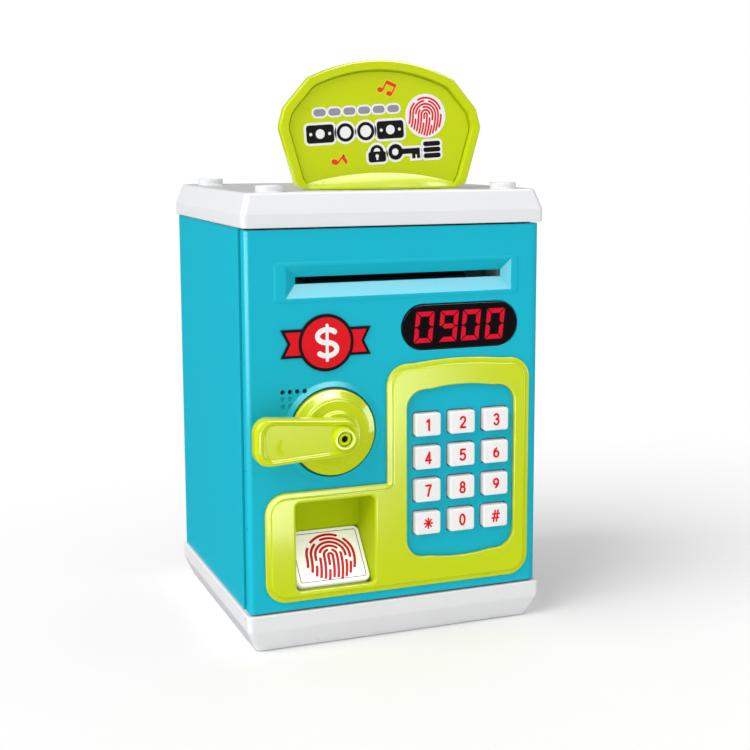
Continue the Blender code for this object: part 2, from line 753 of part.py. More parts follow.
def door_back_cover():
    """The tray behind the door's front: its back wall carries the bill outlet and the battery bay."""
    front = PLATE_BACK_Y + FIT
    cover = box("door_back_cover", (COVER_LEFT, front, COVER_LOW), (COVER_RIGHT, COVER_REAR_Y, COVER_HIGH))
    w = COVER_WALL
    hollow = box(
        "cover_hollow",
        (COVER_LEFT + w, front - 5, COVER_LOW + w),
        (COVER_RIGHT - w, COVER_REAR_Y - w, COVER_HIGH - w),
    )
    bay = box(
        "battery_bay",
        (BAY_LEFT - 1.5, BAY_FLOOR_Y - 1.5, BAY_LOW - 1.5),
        (COVER_RIGHT - 1, COVER_REAR_Y - 1, BAY_HIGH + 1.5),
    )
    bay_hollow = box(
        "battery_bay_hollow",
        (BAY_LEFT, BAY_FLOOR_Y, BAY_LOW),
        (COVER_RIGHT - w, COVER_REAR_Y + 5, BAY_HIGH),
    )
    outlet = box("bill_outlet", (-46, COVER_REAR_Y - 5, SLOT_Z - 2.4), (47.5, COVER_REAR_Y + 5, SLOT_Z + 2.4))
    bolt_hole = box(
        "bolt_hole",
        (COVER_LEFT - 5, BOLT_FRONT_Y - 0.8, BOLT_Z - BOLT_HALF - 0.6),
        (COVER_LEFT + 5, BOLT_REAR_Y + 0.8, BOLT_Z + BOLT_HALF + 0.6),
    )
    boss = rod("battery_screw_boss", "Y", (KEYPAD_X, COVER_REAR_Y - 9, BAY_HIGH + 5), 8.5, 3.0, sides=14)
    cut(cover, hollow)
    fuse(cover, bay, boss)
    cut(cover, bay_hollow, outlet, bolt_hole)
    holes = [(x, COVER_REAR_Y - 5, z) for x, z in COVER_SCREWS]
    cut(cover, rods("cover_holes", "Y", holes, 10, SCREW_R + FIT, sides=12))
    screw_start = (KEYPAD_X, COVER_REAR_Y - 7.5, BAY_HIGH + 5)
    cut(cover, rod("battery_screw_hole", "Y", screw_start, 20, SCREW_R + FIT, sides=12))
    return keep(cover, "inner_white", DOOR_AXIS)


def cover_screws():
    for number, (x, z) in enumerate(COVER_SCREWS, 1):
        head = COVER_REAR_Y + FIT
        screw(f"cover_screw_{number}", "Y", (x, head - 11, z), 11.0, parent=DOOR_AXIS)


def bezel_outline():
    """The L-shaped frame, counterclockwise: wide below, with the keypad column rising at the right."""
    top_left, top_right = (BEZEL_STEP_X, BEZEL_HIGH), (BEZEL_RIGHT, BEZEL_HIGH)
    corners = [(BEZEL_LEFT, BEZEL_LOW, 9), (BEZEL_RIGHT, BEZEL_LOW, 9), (*top_right, 9)]
    corners += [(x, z, 0) for x, z in bowed((50, BEZEL_HIGH), (4, BEZEL_HIGH), BEZEL_ARCH, 6)]
    corners += [(*top_left, 9), (BEZEL_STEP_X, BEZEL_STEP_Z, 0), (BEZEL_LEFT, BEZEL_STEP_Z, 9)]
    return rounded(corners, steps=6)


KEY_WINDOW = (3.0, 53.0, 34.3, 106.2)
WINDOW_BOW = 1.6


def key_window_outline():
    left, right, low, high = KEY_WINDOW
    corners = [(left, low, 8)]
    corners += [(x, z, 0) for x, z in bowed((left + 9, low), (right - 9, low), WINDOW_BOW, 6)]
    corners += [(right, low, 8), (right, high, 8)]
    corners += [(x, z, 0) for x, z in bowed((right - 9, high), (left + 9, high), WINDOW_BOW, 6)]
    corners += [(left, high, 8)]
    return rounded(corners, steps=5)


def keypad_bezel():
    bezel = prism("keypad_bezel", bezel_outline(), BEZEL_FRONT_Y, BEZEL_BACK_Y)
    rear = POCKET_DEEP_Y + POCKET_WALL
    w = POCKET_WALL
    pocket = box(
        "pocket_outside",
        (POCKET_LEFT - w, BEZEL_BACK_Y - 0.8, POCKET_LOW - w),
        (POCKET_RIGHT + w, rear, POCKET_HIGH + w),
    )
    opening = prism(
        "pocket_opening",
        rectangle(POCKET_LEFT, POCKET_RIGHT, POCKET_LOW, POCKET_HIGH, 2.0, steps=3),
        BEZEL_FRONT_Y - 3,
        POCKET_DEEP_Y,
    )
    side = PAD_W / 2 + 2 * FIT
    under_pad = box("under_pad", (-side, -PAD_THICK - 2 * FIT, -PAD_L / 2 - 1.2), (side, 30, PAD_L / 2 + 0.8))
    under_pad.matrix_world = pad_matrix()
    fuse(bezel, pocket)
    window = prism("key_window", key_window_outline(), BEZEL_FRONT_Y - 3, FRONT_Y + 3)
    cut(bezel, window, opening, under_pad)
    return keep(bezel, "lime", DOOR_AXIS)


def pad_matrix():
    """The pad's place: its local +Y is the way it is pressed, and its local +Z runs up along it."""
    return Matrix.Translation(PAD_CENTRE * MM) @ Matrix.Rotation(-PAD_TILT, 4, "X")


def fingerprint_pad():
    pad = box("fingerprint_pad", (-PAD_W / 2, 0, -PAD_L / 2), (PAD_W / 2, PAD_THICK, PAD_L / 2), bevel=0.6)
    stem = rod("pad_stem", "Y", (0, PAD_THICK - 0.5, 0), 4.5, 2.0, sides=12)
    pad.matrix_world = pad_matrix()
    stem.matrix_world = pad_matrix()
    fuse(pad, stem)
    return keep(pad, "white", DOOR_AXIS)


SWITCH_Y = 8.6
SWITCH_BOARD_HALF = 5.5
POCKET_HALF = 16.0


def pad_switch_board():
    """A small board clipped between the pocket's side walls, with a push switch under the pad's stem."""
    half = POCKET_HALF - FIT
    low = (-half, SWITCH_Y + 3.0, -SWITCH_BOARD_HALF)
    board = box("pad_switch_board", low, (half, SWITCH_Y + 4.2, SWITCH_BOARD_HALF))
    body = box("pad_switch_body", (-3, SWITCH_Y + 0.8, -3), (3, SWITCH_Y + 3.4, 3))
    button = rod("pad_switch_button", "Y", (0, SWITCH_Y, 0), 1.2, 1.5, sides=12)
    for piece in (board, body, button):
        piece.matrix_world = pad_matrix()
    fuse(board, body, button)
    return keep(board, "board", DOOR_AXIS)


def key_mesh():
    """One key: a cap with rounded front edges and a flange that keeps it behind the door's plate."""
    bm = bmesh.new()
    front = FRONT_Y - KEY_PROUD
    depth = PLATE_BACK_Y - front
    add_box(bm, (-KEY_W / 2, 0, -KEY_H / 2), (KEY_W / 2, depth + 0.8, KEY_H / 2))
    front_edges = [edge for edge in bm.edges if min(vert.co.y for vert in edge.verts) < 1e-6]
    bmesh.ops.bevel(bm, geom=front_edges, offset=0.8 * MM, segments=2, profile=0.5, affect="EDGES")
    cap = from_bmesh("key_cap", bm)
    half_w, half_h = KEY_W / 2 + KEY_FLANGE, KEY_H / 2 + KEY_FLANGE
    flange = box("key_flange", (-half_w, depth + FIT, -half_h), (half_w, depth + FIT + 1.0, half_h))
    fuse(cap, flange)
    return baked(cap).data


def keys():
    mesh = key_mesh()
    for name, x, z in key_centres():
        key = new_object(f"key_{name}", mesh.copy())
        key.matrix_world = Matrix.Translation(Vector((x, FRONT_Y - KEY_PROUD, z)) * MM)
        keep(key, "key_white", DOOR_AXIS)


def keypad_boards():
    mat = box("key_mat", (4.5, -52.9, 36), (51.5, -52.1, 105))
    keep(mat, "grey_rubber", DOOR_AXIS)
    board = box("keypad_board", (3.5, -51.8, 36), (52.5, -50.4, 105))
    chip = box("keypad_chip", (10, -50.7, 92), (20, -48.6, 100))
    keep(fuse(board, chip), "board", DOOR_AXIS)


def display():
    outline = stadium(DISPLAY_X, DISPLAY_Z, DISPLAY_W, DISPLAY_H)
    lens = prism("display_lens", outline, FRONT_Y - 0.3, FRONT_Y + 1.6)
    keep(lens, "black", DOOR_AXIS)
    board = box("display_module", (4, -55.0, 124), (46.5, -53.6, 141.2))
    digits = box("display_digits", (6, -56.5, 125.5), (45, -54.8, 139.5))
    keep(fuse(board, digits), "board", DOOR_AXIS)


BADGE_X, BADGE_Z, BADGE_R = -32.0, 128.5, 11.8
RIBBON = (-51.2, -12.5, 122.8, 134.5)
RIBBON_NOTCH = 3.0


def badge():
    """A round printed sticker over a short ribbon with swallow-tailed ends."""
    left, right, low, high = RIBBON
    middle = (low + high) / 2
    ribbon = [(left, low), (right, low), (right - RIBBON_NOTCH, middle)]
    ribbon += [(right, high), (left, high), (left + RIBBON_NOTCH, middle)]
    tails = prism("badge_ribbon", ribbon, FRONT_Y - 0.65, FRONT_Y - FIT)
    disc = rod("badge", "Y", (BADGE_X, FRONT_Y - 0.75, BADGE_Z), 0.5, BADGE_R, sides=40)
    return keep(fuse(disc, tails), "red", DOOR_AXIS)


def speaker():
    profile = [(0.0, 0.0), (2.8, 0.0), (3.4, 2.0), (SPEAKER_R - 0.6, 3.6)]
    profile += [(SPEAKER_R, 3.8), (SPEAKER_R, 5.0), (0.0, 5.0)]
    centre = (SPEAKER_X, SPEAKER_REAR_Y, SPEAKER_Z)
    obj = turned("speaker", "Y", centre, [(r, -h) for r, h in profile], sides=20)
    return keep(obj, "rubber", DOOR_AXIS)


# ---------------------------------------------------------------- handle and latch


def knob_disc():
    """A round disc with two raised rings, turned about the shaft's axis."""
    back = FRONT_Y + RECESS_DEPTH - FIT
    steps = [(8.8, 8.9), (9.4, 7.4), (13.7, 7.0), (14.3, 5.4), (16.9, 4.4), (KNOB_R, 3.4), (KNOB_R, 0.0)]
    bore = SHAFT_R + FIT
    profile = [(bore, 8.9), *steps, (bore, 0.0)]
    disc = turned("knob_disc", "Y", (HANDLE_X, back, HANDLE_Z), [(r, -h) for r, h in profile][::-1], sides=40)
    return keep(disc, "lime", HANDLE_AXIS)


def lever_outline():
    """The lever from the front, counterclockwise: a broad tip at the left, a round root on the shaft."""
    tip = HANDLE_X - LEVER_LENGTH
    root = arc((HANDLE_X, HANDLE_Z), LEVER_ROOT_R, -80, 80, 10)
    corners = [(tip, HANDLE_Z - LEVER_TIP_HALF + 0.4, 5.5)]
    corners += [(x, z, 0) for x, z in root]
    corners += [(tip, HANDLE_Z + LEVER_TIP_HALF + 0.4, 5.5)]
    return rounded(corners, steps=5)


def handle_lever():
    outline = lever_outline()
    lever = prism("handle_lever", outline, LEVER_FACE_Y, LEVER_BACK_Y)
    boss_front = HANDLE_FRONT_Y
    boss = rod("lever_boss", "Y", (HANDLE_X, boss_front, HANDLE_Z), LEVER_FACE_Y + 1 - boss_front, 4.9, 5.6)
    fuse(lever, boss)
    cut(lever, rod("lever_recess", "Y", (HANDLE_X, boss_front - 1, HANDLE_Z), 3.4, 3.1, sides=20))
    cut(lever, rod("lever_hole", "Y", (HANDLE_X, boss_front - 1, HANDLE_Z), 12, SCREW_R + FIT, sides=12))
    return keep(lever, "lime", HANDLE_AXIS)


SHAFT_FRONT_Y = -66.4
COLLAR_FRONT_Y = -49.6
COLLAR_R = 4.6
CAM_FRONT_Y = -47.2
CAM_REAR_Y = -44.5


def handle_shaft():
    """The shaft with its cam arm, whose pin stands in the bolt's slot."""
    length = CAM_FRONT_Y + 1.6 - SHAFT_FRONT_Y
    shaft = rod("handle_shaft", "Y", (HANDLE_X, SHAFT_FRONT_Y, HANDLE_Z), length, SHAFT_R)
    collar_start = (HANDLE_X, COLLAR_FRONT_Y, HANDLE_Z)
    collar = rod("shaft_collar", "Y", collar_start, CAM_REAR_Y - COLLAR_FRONT_Y, COLLAR_R, sides=20)
    low, high = (HANDLE_X - 2.6, CAM_FRONT_Y, BOLT_Z - 2.4), (HANDLE_X + 2.6, CAM_REAR_Y - 0.1, HANDLE_Z - 1)
    arm = box("cam_arm", low, high)
    pin_length = BOLT_REAR_Y + 1.4 - CAM_REAR_Y
    pin = rod("cam_pin", "Y", (HANDLE_X, CAM_REAR_Y - 1, BOLT_Z), pin_length, CAM_PIN_R, sides=16)
    fuse(shaft, collar, arm, pin)
    thread_start = (HANDLE_X, SHAFT_FRONT_Y - 1, HANDLE_Z)
    cut(shaft, rod("shaft_thread", "Y", thread_start, 10, SCREW_R + FIT, sides=12))
    return keep(shaft, "steel", HANDLE_AXIS)


def handle_screw():
    length = 14.0
    tip = (HANDLE_X, HANDLE_FRONT_Y + 2.1 + length, HANDLE_Z)
    screw("handle_screw", "-Y", tip, length, head_r=2.6, head=1.4, parent=HANDLE_AXIS)


def latch_bolt():
    low, high = BOLT_Z - BOLT_HALF, BOLT_Z + BOLT_HALF
    bolt = box("latch_bolt", (BOLT_TIP_X, BOLT_FRONT_Y, low), (BOLT_TAIL_X, BOLT_REAR_Y, high))
    clear = CAM_PIN_R + 0.5
    slot = box(
        "bolt_slot",
        (HANDLE_X - clear, BOLT_FRONT_Y - 2, BOLT_Z - clear),
        (HANDLE_X + clear, BOLT_REAR_Y + 2, high - 0.5),
    )
    return keep(cut(bolt, slot), "inner_white", DOOR_AXIS)


def coil(name, start, end, r, wire, turns, finish, parent):
    """A wire coil along +X as a poly curve with a round section."""
    curve = bpy.data.curves.new(name, "CURVE")
    curve.dimensions = "3D"
    curve.bevel_depth = wire * MM
    curve.bevel_resolution = 1
    curve.use_fill_caps = True
    spline = curve.splines.new("POLY")
    count = turns * 10
    spline.points.add(count)
    for i, point in enumerate(spline.points):
        angle = 2 * math.pi * i / 10
        x = start[0] + (end - start[0]) * i / count
        place = Vector((x, start[1] + r * math.cos(angle), start[2] + r * math.sin(angle))) * MM
        point.co = (*place, 1.0)
    return keep(baked(new_object(name, curve)), finish, parent)


def latch_spring():
    start = (BOLT_TAIL_X + FIT + 0.4, (BOLT_FRONT_Y + BOLT_REAR_Y) / 2, BOLT_Z)
    return coil("latch_spring", start, SPRING_POST_X[0] - FIT - 0.4, 2.2, 0.3, 5, "steel", DOOR_AXIS)


def lock_solenoid():
    coil_body = box("lock_solenoid", (-21, -50, 93.5), (-8, -39, 105))
    plunger = rod("solenoid_plunger", "Z", (-17, -44.5, 89.6), 6, 1.6, sides=12)
    return keep(fuse(coil_body, plunger), "steel", DOOR_AXIS)


# ---------------------------------------------------------------- note feeder


def roller(name, centre_z, r, right_end, parent):
    ends = (-FRAME_X - 0.8, right_end)
    profile = [(0.0, ends[1]), (AXLE_R, ends[1]), (AXLE_R, ROLLER_HALF), (r, ROLLER_HALF)]
    profile += [(r, -ROLLER_HALF), (AXLE_R, -ROLLER_HALF), (AXLE_R, ends[0]), (0.0, ends[0])]
    obj = turned(name, "X", (0, ROLLER_Y, centre_z), profile, sides=24)
    return keep(obj, "rubber", parent)


def gear_outline(centre, teeth, start_angle):
    """A trapezoid-tooth gear seen along the axis, with tooth 0 centred on start_angle."""
    pitch_r = GEAR_MODULE * teeth / 2
    root_r, tip_r = pitch_r - 0.75, pitch_r + 0.5
    outline = []
    for tooth in range(teeth):
        middle = start_angle + 2 * math.pi * tooth / teeth
        for r, share in ((root_r, -0.34), (tip_r, -0.11), (tip_r, 0.11), (root_r, 0.34)):
            angle = middle + share * 2 * math.pi / teeth
            outline.append((centre[0] + r * math.cos(angle), centre[1] + r * math.sin(angle)))
    return outline


def gear(name, centre, teeth, start_angle):
    """A spur gear with its axis along X, from an outline in the YZ plane."""
    flat = prism(name, gear_outline((0, 0), teeth, start_angle), *GEAR_X, plane="XY")
    turn = Matrix(((0, 0, 1, 0), (1, 0, 0, 0), (0, 1, 0, 0), (0, 0, 0, 1)))
    flat.matrix_world = Matrix.Translation(Vector(((GEAR_X[0] + GEAR_X[1]) / 2, *centre)) * MM) @ turn
    return flat


def drive_gear():
    mesh_angle = math.atan2(MOTOR_Z - DRIVE_Z, MOTOR_Y - ROLLER_Y)
    obj = gear("drive_gear", (ROLLER_Y, DRIVE_Z), DRIVE_TEETH, mesh_angle)
    cut(obj, rod("drive_gear_bore", "X", (GEAR_X[0] - 5, ROLLER_Y, DRIVE_Z), 12, AXLE_R + FIT, sides=16))
    return keep(obj, "inner_white", DRIVE_AXIS)


def motor_pinion():
    facing = math.atan2(DRIVE_Z - MOTOR_Z, ROLLER_Y - MOTOR_Y) + math.pi / PINION_TEETH
    obj = gear("motor_pinion", (MOTOR_Y, MOTOR_Z), PINION_TEETH, facing)
    start_x = FRAME_X - 1.1
    fuse(obj, rod("pinion_shaft", "X", (start_x, MOTOR_Y, MOTOR_Z), GEAR_X[0] + 1 - start_x, 1.0, sides=12))
    return keep(obj, "steel", PINION_AXIS)


def roller_motor():
    can = rod("roller_motor", "X", (26, MOTOR_Y, MOTOR_Z), 21.6, MOTOR_R, sides=20)
    tail = rod("motor_tail", "X", (24.5, MOTOR_Y, MOTOR_Z), 2.5, 2.5, sides=12)
    return keep(fuse(can, tail), "steel", DOOR_AXIS)


def roller_frame():
    """Two side plates joined by a deck under the rollers; the right plate also carries the motor."""
    left = box("roller_frame", (-FRAME_X - 1, -52, 139.5), (-FRAME_X + 1, -40, 161.4))
    right = box("frame_right", (FRAME_X - 1, -52, 142.5), (FRAME_X + 1, -40, 161.4))
    arm = box("frame_motor_arm", (FRAME_X - 0.9, -47, 133.5), (FRAME_X + 0.9, -30.5, 148.5))
    deck = box("frame_deck", (-FRAME_X, -51.5, 142.6), (FRAME_X, -49.8, 151.0))
    fuse(left, right, arm, deck)
    holes = [(-60, ROLLER_Y, DRIVE_Z), (-60, ROLLER_Y, PINCH_Z)]
    cut(left, rods("frame_bearings", "X", holes, 120, AXLE_R + RUNNING_FIT))
    cut(left, rod("frame_motor_hole", "X", (40, MOTOR_Y, MOTOR_Z), 20, 1.4, sides=16))
    return keep(left, "inner_white", DOOR_AXIS)


# ---------------------------------------------------------------- batteries


def batteries():
    left = BAY_LEFT + 1.9
    for number in (1, 2, 3):
        z = BATTERY_MID_Z + (2 - number) * BATTERY_PITCH
        flip = -1 if number == 2 else 1
        reach = BATTERY_BODY + BATTERY_NUB
        start = left if flip > 0 else left + reach
        profile = [(0, reach), (2.7, reach), (2.7, BATTERY_BODY), (BATTERY_R - 0.5, BATTERY_BODY)]
        profile += [(BATTERY_R, BATTERY_BODY - 0.5), (BATTERY_R, 0.5), (BATTERY_R - 0.5, 0.0), (0, 0)]
        if flip < 0:
            profile = [(r, -h) for r, h in profile][::-1]
        cell = turned(f"battery_{number}", "X", (start, BATTERY_Y, z), profile, sides=20)
        keep(cell, "steel", DOOR_AXIS)


def battery_contacts():
    right = BAY_LEFT + 1.9 + BATTERY_BODY + BATTERY_NUB + 0.4
    for name, x in (("battery_contact_left", BAY_LEFT + 0.9), ("battery_contact_right", right)):
        plate = box(name, (x, -43, BAY_LOW + 1.5), (x + 0.5, -31, BAY_HIGH - 1.5))
        keep(plate, "steel", DOOR_AXIS)


def battery_cover():
    low_y = COVER_REAR_Y + FIT
    thick = 1.6
    low, high = (BAY_LEFT - 3, low_y, BAY_LOW - 3), (COVER_RIGHT - 0.8, low_y + thick, BAY_HIGH + 8.5)
    plate = box("battery_cover", low, high, bevel=0.4)
    lip_low, lip_high = (BAY_LEFT + 4, low_y - 1.8, BAY_LOW + 0.5), (COVER_RIGHT - 7, low_y + 0.5, BAY_LOW + 2)
    fuse(plate, box("battery_cover_lip", lip_low, lip_high))
    hole_start = (KEYPAD_X, low_y - 5, BAY_HIGH + 5)
    cut(plate, rod("battery_cover_hole", "Y", hole_start, 12, SCREW_R + FIT, sides=12))
    keep(plate, "inner_white", DOOR_AXIS)
    head = low_y + thick + FIT
    screw("battery_cover_screw", "Y", (KEYPAD_X, head - 8.0, BAY_HIGH + 5), 8.0, parent=DOOR_AXIS)


def cable(name, route, parent):
    """A round two-core lead along a few points."""
    curve = bpy.data.curves.new(name, "CURVE")
    curve.dimensions = "3D"
    curve.bevel_depth = 0.7 * MM
    curve.bevel_resolution = 1
    curve.use_fill_caps = True
    spline = curve.splines.new("POLY")
    spline.points.add(len(route) - 1)
    for point, place in zip(spline.points, route):
        point.co = (*(Vector(place) * MM), 1.0)
    return keep(baked(new_object(name, curve)), "rubber", parent)


def cables():
    """The speaker's and the motor's leads, which both end at the keypad board."""
    board_y, board_z = -47.8, 102.5
    from_speaker = [(-38.4, -47.4, SPEAKER_Z), (-34, -46.5, 112), (-20, -46, 116)]
    from_speaker += [(0, -46, 116), (8, -47.4, 109), (9, board_y, board_z)]
    cable("speaker_cable", from_speaker, DOOR_AXIS)
    from_motor = [(24, MOTOR_Y, 144.5), (20, -38, 142), (17, -44, 130)]
    from_motor += [(16, -47, 114), (16, board_y, board_z)]
    cable("motor_cable", from_motor, DOOR_AXIS)


# ---------------------------------------------------------------- assembly

DOOR_AXIS = axis_empty("door_hinge_axis", (HINGE_X, HINGE_Y, 0))
HANDLE_AXIS = axis_empty("handle_axis", (HANDLE_X, FRONT_Y, HANDLE_Z), DOOR_AXIS)
DRIVE_AXIS = axis_empty("drive_roller_axis", (0, ROLLER_Y, DRIVE_Z), DOOR_AXIS)
PINCH_AXIS = axis_empty("pinch_roller_axis", (0, ROLLER_Y, PINCH_Z), DOOR_AXIS)
PINION_AXIS = axis_empty("motor_pinion_axis", (0, MOTOR_Y, MOTOR_Z), DOOR_AXIS)

base_tray()
body_shell()
top_cap()
sign_board()
base_screws()
door_shell()
hinge_pins()
door_back_cover()
cover_screws()
keypad_bezel()
fingerprint_pad()
pad_switch_board()
keys()
keypad_boards()
display()
badge()
speaker()
knob_disc()
handle_lever()
handle_shaft()
handle_screw()
latch_bolt()
latch_spring()
lock_solenoid()
roller("drive_roller", DRIVE_Z, DRIVE_R, GEAR_X[1] - 0.2, DRIVE_AXIS)
roller("pinch_roller", PINCH_Z, PINCH_R, FRAME_X + 0.8, PINCH_AXIS)
drive_gear()
motor_pinion()
roller_motor()
roller_frame()
batteries()
battery_contacts()
battery_cover()
cables()
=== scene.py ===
"""Toy ATM savings bank: the finished look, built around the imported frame.

Sizes are in millimetres, in the frame's own axes: +X to the right of someone facing the door, +Y to the
back, +Z up. Places come from the frame's nodes; the shape helpers turn them into metres.
"""

from math import atan2, copysign, cos, degrees, dist, hypot, pi, radians, sin, sqrt, tan

import bmesh
import bpy
from mathutils import Euler, Matrix, Vector

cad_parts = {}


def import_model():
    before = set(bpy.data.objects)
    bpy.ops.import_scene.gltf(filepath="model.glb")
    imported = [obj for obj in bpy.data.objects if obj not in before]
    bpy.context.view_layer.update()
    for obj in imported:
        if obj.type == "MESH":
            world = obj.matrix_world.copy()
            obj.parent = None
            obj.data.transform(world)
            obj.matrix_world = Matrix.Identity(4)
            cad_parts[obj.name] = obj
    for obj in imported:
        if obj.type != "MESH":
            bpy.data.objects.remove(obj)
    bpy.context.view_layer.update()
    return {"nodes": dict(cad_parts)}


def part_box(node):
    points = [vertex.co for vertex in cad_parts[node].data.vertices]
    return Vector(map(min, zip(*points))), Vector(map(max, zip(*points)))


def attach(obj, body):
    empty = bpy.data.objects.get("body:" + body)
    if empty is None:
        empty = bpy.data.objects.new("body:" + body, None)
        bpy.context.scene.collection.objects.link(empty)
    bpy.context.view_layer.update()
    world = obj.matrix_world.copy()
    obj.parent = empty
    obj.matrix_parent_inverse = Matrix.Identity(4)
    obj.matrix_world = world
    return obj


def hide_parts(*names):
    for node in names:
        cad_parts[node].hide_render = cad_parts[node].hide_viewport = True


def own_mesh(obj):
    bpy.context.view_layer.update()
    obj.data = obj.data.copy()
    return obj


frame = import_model()

MM = 0.001


# ---- places taken from the frame


def span(node):
    """A CAD node's lowest and highest corner, in millimetres."""
    low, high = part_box(node)
    return low / MM, high / MM


def middle(node):
    low, high = span(node)
    return (low + high) / 2


BASE_HIGH = span("base_tray")[1]
CAP_LOW, CAP_HIGH = span("top_cap")
DOOR_LOW, DOOR_HIGH = span("door_shell")
SIGN_LOW, SIGN_HIGH = span("sign_board")
BEZEL_LOW, BEZEL_HIGH = span("keypad_bezel")
KNOB_HIGH = span("knob_disc")[1]
LEVER_HIGH = span("handle_lever")[1]
LENS_LOW, LENS_HIGH = span("display_lens")
BADGE_LOW, BADGE_HIGH = span("badge")
BOLT_LOW, BOLT_HIGH = span("latch_bolt")

FIT = 0.3
SIDE_INSET = 1.0
WALL = 2.3
CASE_CORNER_R = 2.5
HALF_WIDTH = BASE_HIGH.x
HALF_DEPTH = BASE_HIGH.y
BODY_X = HALF_WIDTH - SIDE_INSET
BACK_Y = HALF_DEPTH - SIDE_INSET
FRONT_Y = -BACK_Y
INNER_X = BODY_X - WALL
PLATE_BACK_Y = FRONT_Y + WALL
DOOR_RETURN = 9.4
DOOR_REAR_Y = FRONT_Y + DOOR_RETURN
SHELL_FRONT_Y = DOOR_REAR_Y + 0.8
HINGE_R = DOOR_RETURN / 2
HINGE = middle("hinge_pin_bottom")
HANDLE = middle("knob_disc")
STUD_HEIGHT = 2.6
CAP_TOP = CAP_HIGH.z - STUD_HEIGHT


def on_shaft(y):
    """A point of the handle's axis."""
    return HANDLE.x, y, HANDLE.z


# ---- shape helpers


def new_object(name, data):
    obj = bpy.data.objects.new(name, data)
    bpy.context.scene.collection.objects.link(obj)
    return obj


def from_bmesh(name, bm):
    mesh = bpy.data.meshes.new(name)
    bmesh.ops.recalc_face_normals(bm, faces=bm.faces)
    bm.to_mesh(mesh)
    bm.free()
    return new_object(name, mesh)


def add_box(bm, corner, opposite):
    low, high = (Vector(pick(pair) for pair in zip(corner, opposite)) * MM for pick in (min, max))
    made = bmesh.ops.create_cube(bm, size=1.0)["verts"]
    bmesh.ops.scale(bm, vec=high - low, verts=made)
    bmesh.ops.translate(bm, vec=(low + high) / 2, verts=made)
    return made


def boxes(*pairs):
    bm = bmesh.new()
    for low, high in pairs:
        add_box(bm, low, high)
    return from_bmesh("boxes", bm)


AXIS_TURN = {
    "X": Matrix.Rotation(radians(90), 3, "Y"),
    "Y": Matrix.Rotation(radians(-90), 3, "X"),
    "Z": Matrix.Identity(3),
    "-Y": Matrix.Rotation(radians(90), 3, "X"),
}


def rods(axis, starts, length, r, sides=48):
    """Equal cylinders that run from their starts along +axis."""
    bm = bmesh.new()
    for start in starts:
        size = {"segments": sides, "radius1": r * MM, "radius2": r * MM, "depth": length * MM}
        made = bmesh.ops.create_cone(bm, cap_ends=True, **size)["verts"]
        bmesh.ops.translate(bm, vec=(0, 0, length / 2 * MM), verts=made)
        bmesh.ops.rotate(bm, matrix=AXIS_TURN[axis], verts=made)
        bmesh.ops.translate(bm, vec=Vector(start) * MM, verts=made)
    return from_bmesh("rods", bm)


def loft(name, rings):
    """A solid through rings of equal point count, with flat ends."""
    bm = bmesh.new()
    made = [[bm.verts.new(Vector(point) * MM) for point in ring] for ring in rings]
    for lower, upper in zip(made, made[1:]):
        for i in range(len(lower)):
            bm.faces.new((lower[i - 1], lower[i], upper[i], upper[i - 1]))
    bm.faces.new(made[0][::-1])
    bm.faces.new(made[-1])
    return from_bmesh(name, bm)


def turned(name, axis, centre, profile, sides=96):
    """A closed profile of (radius, distance along +axis) turned about an axis."""
    bm = bmesh.new()
    turn = AXIS_TURN[axis]
    rings = []
    for r, height in profile:
        angles = [2 * pi * i / sides for i in range(sides)] if r > 0 else [0.0]
        places = [turn @ Vector((r * cos(a), r * sin(a), height)) for a in angles]
        rings.append([bm.verts.new((Vector(centre) + place) * MM) for place in places])
    for lower, upper in zip(rings, rings[1:] + rings[:1]):
        for i in range(max(len(lower), len(upper))):
            if len(lower) == len(upper) == 1:
                continue
            around = [lower[i - 1], lower[i]] if len(lower) > 1 else [lower[0]]
            around += [upper[i], upper[i - 1]] if len(upper) > 1 else [upper[0]]
            bm.faces.new(around)
    return from_bmesh(name, bm)


def evaluated(obj):
    bpy.context.view_layer.update()
    graph = bpy.context.evaluated_depsgraph_get()
    return bpy.data.meshes.new_from_object(obj.evaluated_get(graph))


def baked(obj):
    """The evaluated object as one welded mesh in the frame's axes."""
    mesh = evaluated(obj)
    mesh.transform(obj.matrix_world)
    bm = bmesh.new()
    bm.from_mesh(mesh)
    bmesh.ops.remove_doubles(bm, verts=bm.verts, dist=0.002 * MM)
    bmesh.ops.recalc_face_normals(bm, faces=bm.faces)
    bm.to_mesh(mesh)
    bm.free()
    name = obj.name
    bpy.data.objects.remove(obj, do_unlink=True)
    return new_object(name, mesh)


def boolean(target, operation, *tools):
    """Joins tools to the target or cuts them from it."""
    for tool in tools:
        modifier = target.modifiers.new(tool.name, "BOOLEAN")
        modifier.operation = operation
        modifier.object = tool
    mesh = evaluated(target)
    target.modifiers.clear()
    target.data = mesh
    for tool in tools:
        bpy.data.objects.remove(tool, do_unlink=True)
    return target


def fuse(target, *tools):
    return boolean(target, "UNION", *tools)


def cut(target, *tools):
    return boolean(target, "DIFFERENCE", *tools)


TO_FRONT = Matrix.Rotation(radians(90), 4, "X")


def facing_front(x, y, z):
    """The plane through a point that faces the front, for prints."""
    return Matrix.Translation((x * MM, y * MM, z * MM)) @ TO_FRONT


